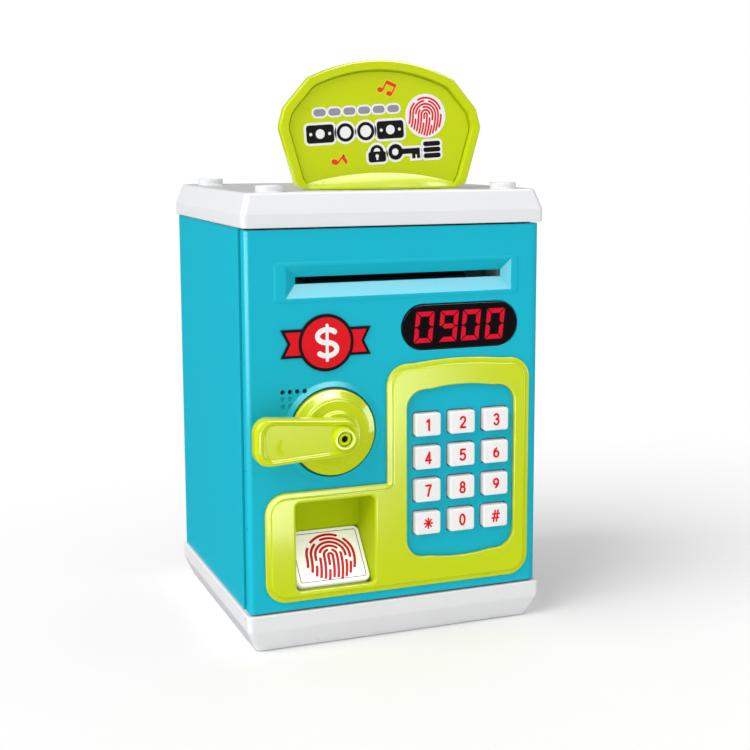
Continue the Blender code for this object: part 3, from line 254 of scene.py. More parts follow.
def flat(name, loops, thickness, edge=0.0, swell=0.0, place=Matrix.Identity(4)):
    """Outlines filled and thickened about the local XY plane; inner loops are holes."""
    curve = bpy.data.curves.new(name, "CURVE")
    curve.dimensions = "2D"
    curve.fill_mode = "BOTH"
    curve.extrude = (thickness / 2 - edge) * MM
    curve.bevel_depth = edge * MM
    curve.bevel_resolution = 2
    curve.offset = (swell - edge) * MM
    for loop in loops:
        spline = curve.splines.new("POLY")
        spline.points.add(len(loop) - 1)
        for point, (u, v) in zip(spline.points, loop):
            point.co = (u * MM, v * MM, 0.0, 1.0)
        spline.use_cyclic_u = True
    obj = new_object(name, curve)
    obj.matrix_world = place
    return baked(obj)


def plate(name, loops, low, high, edge=0.0, swell=0.0):
    """Outlines in the XZ plane made solid from y=low to y=high."""
    return flat(name, loops, high - low, edge, swell, facing_front(0, (low + high) / 2, 0))


def slab(name, loops, low, high):
    """Outlines in the XY plane made solid from z=low to z=high."""
    return flat(name, loops, high - low, place=Matrix.Translation((0, 0, (low + high) / 2 * MM)))


def band(path, width):
    """The outline of a stroke with round ends."""
    left, right = [], []
    r = width / 2
    for i, point in enumerate(path):
        along = Vector(path[min(i + 1, len(path) - 1)]) - Vector(path[max(i - 1, 0)])
        side = Vector((-along.y, along.x)).normalized() * r
        left.append(tuple(Vector(point) + side))
        right.append(tuple(Vector(point) - side))
    angles = []
    for end, beyond in ((path[0], path[1]), (path[-1], path[-2])):
        out = Vector(end) - Vector(beyond)
        angles.append(degrees(atan2(out.y, out.x)))
    first = arc(path[0], r, angles[0] - 90, angles[0] + 90, 8)
    last = arc(path[-1], r, angles[1] - 90, angles[1] + 90, 8)
    return first[1:-1] + right + last[1:-1] + left[::-1]


def stroke_loops(path, width):
    """A stroke's outlines: two for a path that ends where it starts, else one."""
    if dist(path[0], path[-1]) < 1e-6:
        return [inset(path[:-1], -width / 2), inset(path[:-1], width / 2)]
    return [band(path, width)]


def print_of(name, paths, width, place):
    """Strokes printed on the plane of place, joined where they cross."""
    loops = [stroke_loops(path, width) for path in paths]
    parts = [flat(f"{name}_{i}", loop, PRINT_HEIGHT, place=place) for i, loop in enumerate(loops)]
    obj = fuse(*parts) if len(parts) > 1 else parts[0]
    obj.name = name
    return obj


def print_apart(name, paths, width, place):
    """Strokes that don't touch one another, printed on the plane of place."""
    return flat(name, [band(path, width) for path in paths], PRINT_HEIGHT, place=place)


PRINT_HEIGHT = 0.12


# ---- outlines


def arc(centre, r, start, end, steps):
    """Points on an arc, angles in degrees, both ends included."""
    angles = [radians(start + (end - start) * i / steps) for i in range(steps + 1)]
    return [(centre[0] + r * cos(a), centre[1] + r * sin(a)) for a in angles]


def bowed(start, end, rise, steps=16):
    """The inner points of a shallow arc that rises to the right of its direction."""
    a, b = Vector(start), Vector(end)
    side = Vector(((b - a).y, -(b - a).x)).normalized()
    points = []
    for i in range(1, steps):
        t = i / steps
        point = a.lerp(b, t) + side * rise * 4 * t * (1 - t)
        points.append((point.x, point.y))
    return points


def rounded(corners, steps=8):
    """An outline from (u, v, radius) corners."""
    outline = []
    for i, (u, v, r) in enumerate(corners):
        here = Vector((u, v))
        before = (Vector(corners[i - 1][:2]) - here).normalized()
        after = (Vector(corners[(i + 1) % len(corners)][:2]) - here).normalized()
        half = before.angle(after) / 2
        if r == 0 or half > radians(89):
            outline.append((u, v))
            continue
        reach = r / tan(half)
        centre = here + (before + after).normalized() * r / sin(half)
        start = here + before * reach - centre
        sweep = start.angle_signed(here + after * reach - centre)
        for step in range(steps + 1):
            point = centre + Matrix.Rotation(-sweep * step / steps, 2) @ start
            outline.append((point.x, point.y))
    return outline


def rectangle(left, right, low, high, r=0.0, steps=8):
    return rounded([(left, low, r), (right, low, r), (right, high, r), (left, high, r)], steps)


def centred(x, z, w, h, r, steps=8):
    return rectangle(x - w / 2, x + w / 2, z - h / 2, z + h / 2, r, steps)


def stadium(x, z, w, h, steps=24):
    r = h / 2
    half = w / 2 - r
    return arc((x + half, z), r, -90, 90, steps) + arc((x - half, z), r, 90, 270, steps)


def circle(x, z, r, steps=72):
    return arc((x, z), r, 0, 360, steps)[:-1]


def inset(outline, distance):
    """A counterclockwise outline moved inwards."""
    moved = []
    for i, point in enumerate(outline):
        here = Vector(point)
        before = (here - Vector(outline[i - 1])).normalized()
        after = (Vector(outline[(i + 1) % len(outline)]) - here).normalized()
        normal = Vector((-(before + after).y, (before + after).x)).normalized()
        stretch = 1 / max(0.5, normal.dot(Vector((-after.y, after.x))))
        moved.append(tuple(here + normal * distance * stretch))
    return moved


def mirrored(points):
    return [(-x, z) for x, z in reversed(points)]


def quarter(start, end, steps=5):
    """A quarter round that leaves its start along the second axis."""
    points = []
    for i in range(steps + 1):
        a = radians(90 * i / steps)
        u = start[0] + (end[0] - start[0]) * (1 - cos(a))
        points.append((u, start[1] + (end[1] - start[1]) * sin(a)))
    return points


def banked(name, outline, profile):
    """A solid from an XZ outline whose edge follows (inset, y) pairs, back to front."""
    return loft(name, [[(x, y, z) for x, z in inset(outline, depth)] for depth, y in profile])


def flared(outline, front, back, edge):
    """A cutter for a hole that leaves a round edge on a front face."""
    profile = [(0, back)] + [(-edge + u, y) for u, y in quarter((edge, front + edge), (0, front))]
    return banked("hole", outline, profile + [(-edge, front - 5)])


# ---- materials


def feed(tree, socket, value):
    """Links a socket to an output, or gives it a value."""
    if isinstance(value, bpy.types.NodeSocket):
        tree.links.new(value, socket)
    else:
        socket.default_value = value


def add_node(tree, kind, output, values, **settings):
    """Adds a node, feeds its sockets and gives back one of its outputs."""
    node = tree.nodes.new("ShaderNode" + kind)
    for setting, value in settings.items():
        setattr(node, setting, value)
    for socket, value in values.items():
        feed(tree, node.inputs[socket], value)
    return node.outputs[output]


class Recipe:
    """A node material for moulded, printed and metal parts."""

    def __init__(self, name, roughness, metallic=0.0, specular=0.5, coat=0.0):
        self.material = bpy.data.materials.new(name)
        self.material.use_nodes = True
        self.tree = self.material.node_tree
        self.place = self.add("TexCoord", "Object", {})
        self.set("Roughness", roughness).set("Metallic", metallic).set("Specular IOR Level", specular)
        self.set("Coat Weight", coat).set("Coat Roughness", 0.08)

    def add(self, kind, output, values, **settings):
        return add_node(self.tree, kind, output, values, **settings)

    def set(self, socket, value):
        feed(self.tree, self.tree.nodes["Principled BSDF"].inputs[socket], value)
        return self

    def noise(self, size, detail=2.0, place=None):
        """Cloudy grey noise whose features measure about size millimetres."""
        values = {"Vector": place or self.place, "Scale": 1 / (size * MM), "Detail": detail}
        return self.add("TexNoise", "Fac", values)

    def between(self, value, low, high):
        values = {"Value": value, "From Min": 0.2, "From Max": 0.8, "To Min": low, "To Max": high}
        return self.add("MapRange", "Result", values)

    def mix(self, factor, first, second):
        """A colour between two, each a colour or an output."""
        first, second = ((*side, 1.0) if isinstance(side, tuple) else side for side in (first, second))
        return self.add("Mix", 2, {0: factor, 6: first, 7: second}, data_type="RGBA")

    def clouded(self, size, first, second, detail=2.0):
        return self.mix(self.between(self.noise(size, detail), 0.0, 1.0), first, second)

    def bump(self, height, depth):
        """Raises the surface by up to depth millimetres; gives back the material."""
        self.set("Normal", self.add("Bump", "Normal", {"Height": height, "Distance": depth * MM}))
        return self.material


def shade(colour, factor):
    return tuple(min(1.0, channel * factor) for channel in colour)


def moulded(name, colour, roughness, grain=4.0, depth=0.002, specular=0.5, coat=0.0, bounce=None):
    """Moulded plastic with a fine grain; with bounce, the light it throws has that colour."""
    recipe = Recipe(name, roughness, specular=specular, coat=coat)
    tone = recipe.clouded(28.0, shade(colour, 0.99), shade(colour, 1.01))
    if bounce:
        tone = recipe.mix(recipe.add("LightPath", "Is Diffuse Ray", {}), tone, bounce)
    recipe.set("Base Color", tone)
    recipe.set("Roughness", recipe.between(recipe.noise(12.0), roughness * 0.97, roughness * 1.03))
    return recipe.bump(recipe.noise(grain, 0.0), depth)


def printed(name, colour):
    """Pad-printed ink: a slightly mottled film."""
    recipe = Recipe(name, 0.45, specular=0.15)
    recipe.set("Base Color", recipe.clouded(0.6, shade(colour, 0.93), shade(colour, 1.03), 3.0))
    return recipe.bump(recipe.noise(0.25), 0.004)


def metal(name, colour, roughness, streak):
    """Drawn or turned metal with fine streaks."""
    recipe = Recipe(name, roughness, metallic=1.0)
    stretched = recipe.add("Mapping", "Vector", {"Vector": recipe.place, "Scale": streak})
    lines = recipe.noise(0.5, 4.0, stretched)
    recipe.set("Base Color", recipe.mix(recipe.between(lines, 0, 1), shade(colour, 0.85), colour))
    recipe.set("Roughness", recipe.between(lines, roughness * 0.7, roughness * 1.4))
    return recipe.bump(lines, 0.006)


def rubber(name, colour):
    recipe = Recipe(name, 0.75, specular=0.25)
    recipe.set("Base Color", recipe.clouded(3.0, colour, shade(colour, 1.5), 4.0))
    return recipe.bump(recipe.noise(0.4, 4.0), 0.03)


def circuit_board():
    """Green lacquer over lighter copper tracks."""
    recipe = Recipe("circuit_board", 0.35)
    upright = recipe.add("Mapping", "Vector", {"Vector": recipe.place, "Rotation": (radians(90), 0, 0)})
    values = {"Vector": upright, "Scale": 1 / (9.0 * MM), "Mortar Size": 0.04}
    values |= {"Color1": (0.01, 0.14, 0.05, 1), "Color2": (0.012, 0.17, 0.06, 1)}
    values |= {"Mortar": (0.03, 0.34, 0.12, 1)}
    tracks = recipe.add("TexBrick", "Color", values)
    recipe.set("Base Color", tracks)
    return recipe.bump(tracks.node.outputs["Fac"], 0.03)


def battery_jacket():
    """A shrink sleeve with a copper-coloured third."""
    recipe = Recipe("battery_jacket", 0.3, metallic=0.4, coat=0.3)
    left, right = (corner.x * MM for corner in span("battery_1"))
    x = recipe.add("SeparateXYZ", "X", {"Vector": recipe.place})
    along = recipe.add("MapRange", "Result", {"Value": x, "From Min": left, "From Max": right})
    sleeve = recipe.add("ValToRGB", "Color", {"Fac": along})
    ramp = sleeve.node.color_ramp
    ramp.interpolation = "CONSTANT"
    bands = ((0.0, (0.03, 0.03, 0.035)), (0.58, (0.75, 0.75, 0.72)), (0.6, (0.55, 0.28, 0.10)))
    for position, colour in bands:
        ramp.elements.new(position).color = (*colour, 1)
    recipe.set("Base Color", sleeve)
    return recipe.bump(recipe.noise(2.0), 0.01)


def glowing(name, roughness, specular, size, first, second, strength):
    """Plastic with a faint light of its own: a backlight for the display's segments, painted light for the
    pad.
    """
    recipe = Recipe(name, roughness, specular=specular)
    colour = recipe.clouded(size, first, second)
    recipe.set("Base Color", colour).set("Emission Color", colour).set("Emission Strength", strength)
    return recipe.material


BLUE = moulded("blue_plastic", (0.001, 0.50, 0.66), 0.24, specular=0.4, bounce=(0.3, 0.3, 0.3))
WHITE = moulded("white_plastic", (0.83, 0.835, 0.85), 0.28)
LIME = moulded("lime_plastic", (0.62, 0.74, 0.003), 0.20, coat=0.3)
# Satin lime for the pocket tray: the low gloss is its finish, the darker colour is painted shade in the
# recess.
LIME_SATIN_SHADED = moulded("lime_satin_shaded_plastic", (0.55, 0.68, 0.002), 0.6, specular=0.08)
KEY_WHITE = moulded("key_plastic", (0.93, 0.92, 0.915), 0.30)
INNER = moulded("inner_plastic", (0.70, 0.71, 0.73), 0.55, 0.45, 0.02, specular=0.3)
WINDOW = moulded("window_plastic", (0.006, 0.004, 0.005), 0.10, depth=0.001)
RED_INK = printed("red_ink", (0.80, 0.004, 0.012))
BLACK_INK = printed("black_ink", (0.012, 0.010, 0.012))
WHITE_INK = printed("white_ink", (0.92, 0.92, 0.92))
GREY_INK = printed("grey_ink", (0.32, 0.31, 0.38))
ORANGE_INK = printed("orange_ink", (0.85, 0.06, 0.01))
YELLOW_INK = printed("yellow_ink", (0.90, 0.72, 0.05))
STEEL = metal("bright_steel", (0.62, 0.62, 0.64), 0.28, (1, 1, 12))
BRASS = metal("turned_brass", (0.76, 0.55, 0.22), 0.25, (1, 12, 12))
RUBBER = rubber("black_rubber", (0.02, 0.02, 0.022))
GREY_RUBBER = rubber("grey_rubber", (0.30, 0.30, 0.31))
BOARD = circuit_board()
JACKET = battery_jacket()
LIT = glowing("lit_segment", 0.5, 0.1, 2.5, (0.60, 0.001, 0.018), (0.66, 0.002, 0.024), 0.2)
# The pad's faint glow is painted light that lifts it out of the pocket's shade.
PAD_WHITE = glowing("pad_plastic", 0.3, 0.5, 20.0, (0.93, 0.91, 0.91), (0.95, 0.93, 0.93), 0.30)


# ---- finishing pieces


def soften(obj, width, segments=3, angle=32):
    """Rounds every edge sharper than angle."""
    bevel = obj.modifiers.new("edges", "BEVEL")
    bevel.width = width * MM
    bevel.segments = segments
    bevel.limit_method = "ANGLE"
    bevel.angle_limit = radians(angle)
    bevel.use_clamp_overlap = False
    bevel.miter_outer = "MITER_ARC"
    return obj


def even_shading(obj):
    """Large faces set the shading at the edges they share with small ones."""
    weighted = obj.modifiers.new("shading", "WEIGHTED_NORMAL")
    weighted.keep_sharp = True
    weighted.weight = 80


def piece(obj, body, material, slot, *nodes, smooth=32):
    """Gives a piece its material, shading and body, and hides the CAD nodes it stands for; the slot is not
    used.
    """
    obj.data.materials.clear()
    obj.data.materials.append(material)
    obj.data.shade_smooth()
    obj.data.set_sharp_from_angle(angle=radians(smooth))
    even_shading(obj)
    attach(obj, body)
    if nodes:
        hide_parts(*nodes)
    return obj


def dress(node, material, edge=0.25):
    """Keeps a CAD node's shape, rounds its edges and gives it a material."""
    obj = frame["nodes"][node]
    weld = obj.modifiers.new("weld", "WELD")
    weld.merge_threshold = 0.002 * MM
    merge = obj.modifiers.new("flats", "DECIMATE")
    merge.decimate_type = "DISSOLVE"
    merge.angle_limit = radians(1)
    if edge:
        soften(obj, edge, segments=2, angle=40)
    even_shading(obj)
    if not obj.material_slots:
        obj.data.materials.append(material)
    for slot in obj.material_slots:
        slot.material = material
    return obj


# ---- case


def case_solid(name, profile):
    """A solid whose outside follows (inset, z, radius) corners all round the case."""
    rings = []
    for depth, z in rounded(profile, steps=6):
        x, y = HALF_WIDTH - depth, HALF_DEPTH - depth
        rings.append([(u, v, z) for u, v in rectangle(-x, x, -y, y, CASE_CORNER_R)])
    return loft(name, rings)


CASE_SCREWS = [middle(f"base_screw_{number}") for number in (1, 2, 3, 4)]
CAVITY_X = HALF_WIDTH - 4.5
CAVITY_FRONT_Y, CAVITY_BACK_Y = -46.0, 55.5
BASE_FLOOR = 2.5
BOSS_R = 4.2
PIN_HOLE_R = 1.6
SCREW_HOLE_R = 1.8
SIGN_TAB_X = 22


def over_screws(z):
    return [(p.x, p.y, z) for p in CASE_SCREWS]


def base():
    """The tray: a flared skirt and an upright band, hollow above its floor."""
    top = BASE_HIGH.z
    outside = [(8, 0, 0), (4.2, 0, 1.4), (0, 9.7, 4.0), (0, top, 0.7), (8, top, 0)]
    tray = case_solid("case_base", outside)
    hollow = rectangle(-CAVITY_X + 3, CAVITY_X - 3, CAVITY_FRONT_Y, CAVITY_BACK_Y - 3, 3.0)
    cut(tray, slab("base_hollow", [hollow], BASE_FLOOR, top + 5))
    cut(tray, boxes(((-54, -53, -5), (52, -49, top - 3))))
    fuse(tray, rods("Z", over_screws(BASE_FLOOR - 1), 3.5, BOSS_R + 0.5))
    cut(tray, rods("Z", over_screws(BASE_FLOOR + 2.5), 20, BOSS_R + 0.6))
    cut(tray, rods("Z", over_screws(-1), 4, 3.4))
    cut(tray, rods("Z", over_screws(-1), 20, SCREW_HOLE_R, sides=24))
    cut(tray, rods("Z", [(HINGE.x, HINGE.y, top - 5.3)], 20, PIN_HOLE_R, sides=24))
    piece(soften(tray, 0.35), "case", WHITE, "white_shell", "base_tray")


def walls():
    """The left, back and right walls, with screw posts, tongues and the latch keeper."""
    low, high = BASE_HIGH.z + FIT, CAP_LOW.z - FIT
    outer = [(-BODY_X, SHELL_FRONT_Y, 0), (BODY_X, SHELL_FRONT_Y, 0)]
    outline = [outer[0], (-INNER_X, SHELL_FRONT_Y, 0), (-INNER_X, BACK_Y - WALL, 1.0)]
    outline += [(INNER_X, BACK_Y - WALL, 1.0), (INNER_X, SHELL_FRONT_Y, 0), outer[1]]
    outline += [(BODY_X, BACK_Y, CASE_CORNER_R), (-BODY_X, BACK_Y, CASE_CORNER_R)]
    shell = slab("case_walls", [rounded(outline)], low, high)
    posts = rods("Z", over_screws(BASE_FLOOR + 2.8), 14.4, BOSS_R)
    side = INNER_X + 0.5
    webs = [((p.x, p.y - 2.5, low + 1.5), (copysign(side, p.x), p.y + 2.5, low + 4.5)) for p in CASE_SCREWS]
    tongues, roots = [], []
    for sign_x, y in ((-1, -25), (-1, 30), (1, -25), (1, 30)):
        inner, outer_x = sign_x * (CAVITY_X - 2.5), sign_x * (CAVITY_X - 0.4)
        tongues.append(((inner, y - 6, high - 12), (outer_x, y + 6, high + 6)))
        roots.append(((sign_x * (CAVITY_X - 2.0), y - 5, high - 11), (sign_x * side, y + 5, high - 1)))
    bolt_z = (BOLT_LOW.z + BOLT_HIGH.z) / 2
    keeper_low = (-INNER_X - 0.5, SHELL_FRONT_Y + 0.4, bolt_z - 8.3)
    keeper = boxes((keeper_low, (BOLT_LOW.x + 2.0, BOLT_LOW.y - 1.5, bolt_z + 8.3)))
    fuse(shell, posts, boxes(*webs), boxes(*roots), boxes(*tongues))
    fuse(shell, keeper)
    cut(shell, rods("Z", over_screws(0), 15, SCREW_HOLE_R, sides=24))
    piece(soften(shell, 0.3), "case", BLUE, "blue_shell", "body_shell")


STUD_X, STUD_Y, STUD_R = 52.0, 48.5, 5.6
COIN_SLOT_Y = 14.0
COIN_SLOT_HALF = (17.0, 2.25)
CAP_BAND = 5.4
CAP_CHAMFER = 2.8
CAP_ROOF = 3.0


def stud(x, y):
    """A low round stud with a shallow dish on top."""
    corners = [(0, 1.9, 0), (3.8, 1.9, 0.4), (4.3, STUD_HEIGHT, 0.3), (STUD_R, STUD_HEIGHT, 0.5)]
    corners += [(STUD_R, -1, 0), (0, -1, 0)]
    return turned(f"stud_{x:.0f}_{y:.0f}", "Z", (x, y, CAP_TOP), rounded(corners, steps=5), sides=48)


def cap():
    """An upright band, a leaning upper face, four studs and the coin slot."""
    low = CAP_LOW.z
    outside = [(8, low, 0), (0, low, 0.6), (0, low + CAP_BAND, 1.6), (CAP_CHAMFER, CAP_TOP, 1.2)]
    outside.append((9, CAP_TOP, 0))
    top = case_solid("case_cap", outside)
    roof = CAP_TOP - CAP_ROOF
    cavity = ((-CAVITY_X, CAVITY_FRONT_Y, low - 5), (CAVITY_X, CAVITY_BACK_Y, roof))
    front = ((-54, -54.5, low - 5), (54, CAVITY_FRONT_Y - 2.5, roof))
    cut(top, boxes(cavity, front))
    fuse(top, *[stud(x, y) for x in (-STUD_X, STUD_X) for y in (-STUD_Y, STUD_Y)])
    half_x, half_y = COIN_SLOT_HALF
    coin = rectangle(-half_x, half_x, COIN_SLOT_Y - half_y, COIN_SLOT_Y + half_y, 1.2)
    cut(top, slab("coin_slot", [coin], roof - 2, CAP_TOP + 5))
    tabs = [((x - 4.8, -40.3, roof - 2), (x + 4.8, -36.9, 200)) for x in (-SIGN_TAB_X, SIGN_TAB_X)]
    cut(top, boxes(*tabs))
    cut(top, rods("Z", [(HINGE.x, HINGE.y, low - 5)], 10.3, PIN_HOLE_R, sides=24))
    piece(soften(top, 0.45), "case", WHITE, "white_shell", "top_cap")


SIGN_RIM = 3.8
SIGN_RECESS = 2.2
SIGN_GROOVE = 0.7
SIGN_FOOT_HALF = 33.0
SIGN_FOOT_HEIGHT = 6.6
SIGN_FOOT_REACH = 4.0
SIGN_FOOT_Z = SIGN_HIGH.z - 54.2
SIGN_FRONT_Y = SIGN_HIGH.y - 5.0
SIGN_PANEL_Y = SIGN_FRONT_Y + SIGN_RECESS


def sign_outline(depth=0.0):
    """The board's outline: a narrow foot, wide shoulders and an arched top."""
    z = SIGN_FOOT_Z
    shoulder = (32.2, z + 45.6)
    right = [(SIGN_FOOT_HALF, z), (38.2, z + 1.6), (SIGN_HIGH.x - 0.5, z + 25.5), (42.8, z + 33.5), shoulder]
    arch = bowed(shoulder, (-shoulder[0], shoulder[1]), SIGN_HIGH.z - 1.1 - shoulder[1])
    radii = [0, 2, 6, 6, 6] + [0] * len(arch) + [6, 6, 6, 2, 0]
    corners = inset(right + arch + mirrored(right), depth)
    for end in (0, -1):
        corners[end] = (corners[end][0], z + 0.15 * depth)
    return rounded([(*point, r) for point, r in zip(corners, radii)])


def sign_foot():
    """The sloping foot in front of the panel, higher and deeper in the middle."""
    rings = []
    for i in range(33):
        x = SIGN_FOOT_HALF * (i / 16 - 1)
        size = 1 - 0.72 * (x / SIGN_FOOT_HALF) ** 2
        reach = (SIGN_RECESS + SIGN_FOOT_REACH) * size
        rise = (SIGN_FOOT_HEIGHT - 0.8) * size
        ring = [(x, SIGN_PANEL_Y + 1.5, SIGN_FOOT_Z), (x, SIGN_PANEL_Y - reach, SIGN_FOOT_Z)]
        for step in range(9):
            t = step / 8
            z = SIGN_FOOT_Z + 0.8 + rise * (t - 0.25 * t * (1 - t))
            ring.append((x, SIGN_PANEL_Y - reach * (1 - t), z))
        ring.append((x, SIGN_PANEL_Y + 1.5, SIGN_FOOT_Z + 0.8 + rise))
        rings.append(ring)
    return loft("sign_foot", rings)


def sign():
    """A round-edged rim about a sunken panel, with a foot and two tabs into the cap."""
    back = SIGN_HIGH.y
    profile = quarter((0, back - 2.2), (2.2, back), 6)[::-1]
    profile += [(u, y) for u, y in quarter((0, SIGN_FRONT_Y + 0.9), (0.9, SIGN_FRONT_Y))]
    profile += [(SIGN_RIM - 0.5, SIGN_FRONT_Y), (SIGN_RIM - 0.2, SIGN_FRONT_Y + 0.1)]
    profile += [(SIGN_RIM, SIGN_FRONT_Y + 0.4)]
    groove_y = SIGN_PANEL_Y + SIGN_GROOVE
    profile += [(SIGN_RIM + 0.3, groove_y), (SIGN_RIM + 0.75, groove_y), (SIGN_RIM + 0.85, SIGN_PANEL_Y)]
    board = loft("sign", [[(x, y, z) for x, z in sign_outline(depth)] for depth, y in profile])
    sides = (-SIGN_TAB_X, SIGN_TAB_X)
    tabs = [((x - 4.5, -40.0, SIGN_LOW.z), (x + 4.5, -37.2, SIGN_FOOT_Z + 3)) for x in sides]
    fuse(board, sign_foot(), boxes(*tabs))
    piece(board, "case", LIME, "lime_trim", "sign_board")


# ---- sign graphics: all generic pictograms


SIGN_TILT = 3.5
SIGN_RISE = 0.061
UPPER_Z = 23.6 + 11.5 * SIGN_RISE
LOWER_Z = 15.5 - 10.5 * SIGN_RISE


def at(outline, x, z, tilt=0.0, size=1.0):
    """An outline scaled, tilted by degrees and moved to (x, z)."""
    turn = Matrix.Rotation(radians(tilt), 2)
    return [tuple(turn @ (Vector(point) * size) + Vector((x, z))) for point in outline]


def pictograms():
    """Each black mark's outlines and holes."""
    shackle = arc((0, 0.4), 3.0, 0, 180, 20) + [(-3.0, -0.4), (3.0, -0.4)]
    keyhole = arc((0, -1.2), 0.8, -60, 240, 16) + [(-0.5, -2.8), (0.5, -2.8)]
    blade = [(3.4, -1.1), (3.4, -3.2), (7.0, -3.2), (7.0, 1.1)]
    teeth = [circle(-4.2, 0, 1.5, 24), rectangle(4.9, 5.6, -4.0, -1.6)]
    window = [circle(x, 0, r, sides) for x, r, sides in ((0, 2.0, 32), (-4.1, 0.7, 16), (4.1, 0.7, 16))]
    lock = [rectangle(-3.9, 3.9, -3.7, 0.7, 1.1), shackle]
    return {
        "banknote": ([centred(0, 0, 12.0, 7.4, 1.3)], window),
        "coin": ([circle(0, 0, 3.8, 48)], [circle(0, 0, 2.5, 40)]),
        "padlock": (lock, [arc((0, 0.7), 1.5, 0, 180, 16), keyhole]),
        "key": ([arc((-4.0, 0), 3.3, 20, 340, 32) + blade], teeth),
        "coins": ([centred(0, z, 7.8, 2.0, 0.95) for z in (-2.5, 0.0, 2.5)], []),
    }


def music_pair():
    heads = [at(stadium(0, 0, 2.8, 2.1), x, z, 20) for x, z in ((-2.2, -2.4), (2.6, -1.8))]
    stems = []
    for x, z in ((-1.1, -2.2), (3.7, -1.6)):
        stems.append([(x - 0.35, z), (x + 0.35, z), (x + 0.35, z + 5.0), (x - 0.35, z + 5.0)])
    return heads + stems + [[(-1.45, 1.4), (4.05, 2.0), (4.05, 3.6), (-1.45, 3.0)]]


def music_single():
    stem = [(-1.0, -2.2), (-0.3, -2.2), (-0.3, 3.2), (-1.0, 3.2)]
    flag = [(-1.0, 3.2), (2.6, 1.8), (3.0, 0.2), (-1.0, 1.4)]
    return [at(stadium(0, 0, 3.2, 2.4), -2.1, -2.3, 20), stem, flag]


def sticker(name, loops, height, swell=0.0, holes=()):
    """Overlapping outlines printed on the sign's panel as one shape, with holes."""
    front = SIGN_PANEL_Y - height
    obj = fuse(*[plate(name, [loop], front, SIGN_PANEL_Y + 0.1, swell=swell) for loop in loops])
    if holes:
        cut(obj, plate(f"{name}_holes", holes, front - 1, SIGN_PANEL_Y + 1))
    obj.name = name
    return obj


def edged(name, loops, swell, edge_ink, edge_slot, ink, slot, holes=()):
    """A mark over a wider edge in another ink."""
    piece(sticker(f"{name}_edge", loops, 0.08, swell), "case", edge_ink, edge_slot)
    piece(sticker(name, loops, 0.16, holes=holes), "case", ink, slot)


def sign_graphics():
    """Two rows of black pictograms, grey dashes, the print mark and two musical notes."""
    rows = [("banknote", -27.0, UPPER_Z), ("coin", -16.0, UPPER_Z), ("coin", -7.0, UPPER_Z)]
    rows += [("banknote", 4.0, UPPER_Z), ("padlock", -2.0, LOWER_Z), ("key", 10.4, LOWER_Z)]
    rows += [("coins", 23.0, LOWER_Z)]
    shapes = pictograms()
    for number, (name, x, z) in enumerate(rows, 1):
        z += SIGN_FOOT_Z + SIGN_RISE * x
        solids, holes = ([at(loop, x, z, SIGN_TILT) for loop in loops] for loops in shapes[name])
        edged(f"mark_{number}", solids, 1.0, WHITE_INK, "key_white", BLACK_INK, "display_black", holes)
    dash = stadium(0, 0, 5.2, 2.9)
    dashes = [at(dash, -27.2 + 6.5 * i, SIGN_FOOT_Z + 31.3 + 0.4 * i, SIGN_TILT) for i in range(6)]
    edged("sign_dashes", dashes, 0.8, WHITE_INK, "key_white", GREY_INK, "key_white")
    notes = [(music_pair(), "sign_notes_upper", 2.2, 42.0, -28)]
    notes += [(music_single(), "sign_note_lower", -18.0, 11.6, -38)]
    for note, name, x, z, turn in notes:
        loops = [at(loop, x, SIGN_FOOT_Z + z, turn, 0.9) for loop in note]
        edged(name, loops, 0.35, YELLOW_INK, "badge_print", ORANGE_INK, "badge_print")
    x, z = 20.0, SIGN_FOOT_Z + 30.4
    piece(sticker("sign_print_edge", [circle(x, z, 9.2)], 0.20), "case", WHITE_INK, "key_white")
    ridges = print_apart("sign_print", fingerprint(8.4, 1.28), 0.78, facing_front(x, SIGN_PANEL_Y - 0.20, z))
    piece(ridges, "case", RED_INK, "badge_print")


def fingerprint(r, pitch):
    """A generic print of nested arches with a few breaks."""
    paths = []
    for ridge in range(int(r / pitch)):
        ridge_r = pitch * (ridge + 0.5)
        top = r * 0.06
        leg = sqrt(max(0.0, r ** 2 - ridge_r ** 2)) + top
        steps = max(2, int(leg / 0.5))
        down = range(1, steps + 1)
        sides = []
        for x in (-ridge_r, ridge_r):
            sides.append([(x - 0.16 * leg * (k / steps) ** 2, top - leg * k / steps) for k in down])
        over = [(x, top + z) for x, z in arc((0, 0), ridge_r, 180, 0, 36)]
        whole = [point for point in sides[0][::-1] + over + sides[1] if hypot(*point) <= r]
        paths += broken(whole, ridge, pitch)
    return paths


def broken(path, ridge, gap):
    """Splits a ridge by short gaps that shift from ridge to ridge."""
    length, kept, current = 0.0, [], []
    reach = 5.0 + 4.5 * ((ridge * 5) % 3)
    for before, point in zip(path, path[1:]):
        length += dist(before, point)
        if length < reach:
            current.append(point)
        elif length > reach + gap:
            kept.append(current)
            current, length = [], 0.0
            reach = 9.0 + 4.3 * ((ridge * 7 + len(kept) * 2) % 4)
    return [part for part in kept + [current] if len(part) > 2]


# ---- door

LEFT_FLANGE, LEFT_STEP, EDGE_R = 5.2, 1.3, 2.4
SLOT_FRAME = (-53.8, 55.2, 144.9, 162.0)
SLOT_FRAME_SLOPE = ((0, 1.2), (0, 0.05), (0.25, -0.1), (1.0, -0.36), (1.3, -0.42))
SLOT_MOUTH = (-49.4, 51.8, 146.3, 160.9)
SLOT_THROAT = (-43.8, 47.9, 152.4, 155.5)
SLOT_THROAT_Y = FRONT_Y + 3.0
SLOT_BLOCK_Y = -53.5
RECESS_R, RECESS_DEPTH = 21.2, 1.2
LIP = (18.7, 21.0, 1.1)
SPEAKER_COLUMNS = (-50.4, -47.3, -44.2, -41.1)
SPEAKER_ROWS = (109.1, 106.2, 103.2)
SPEAKER_HOLE_R = 0.95
WINDOW_NARROWER = 1.3
EDGE_NOTCHES = (121.9, 77.3, 53.3)
COVER_SCREWS = [middle(f"cover_screw_{number}") for number in (1, 2, 3, 4)]
BOSS_END_Y = -30.0


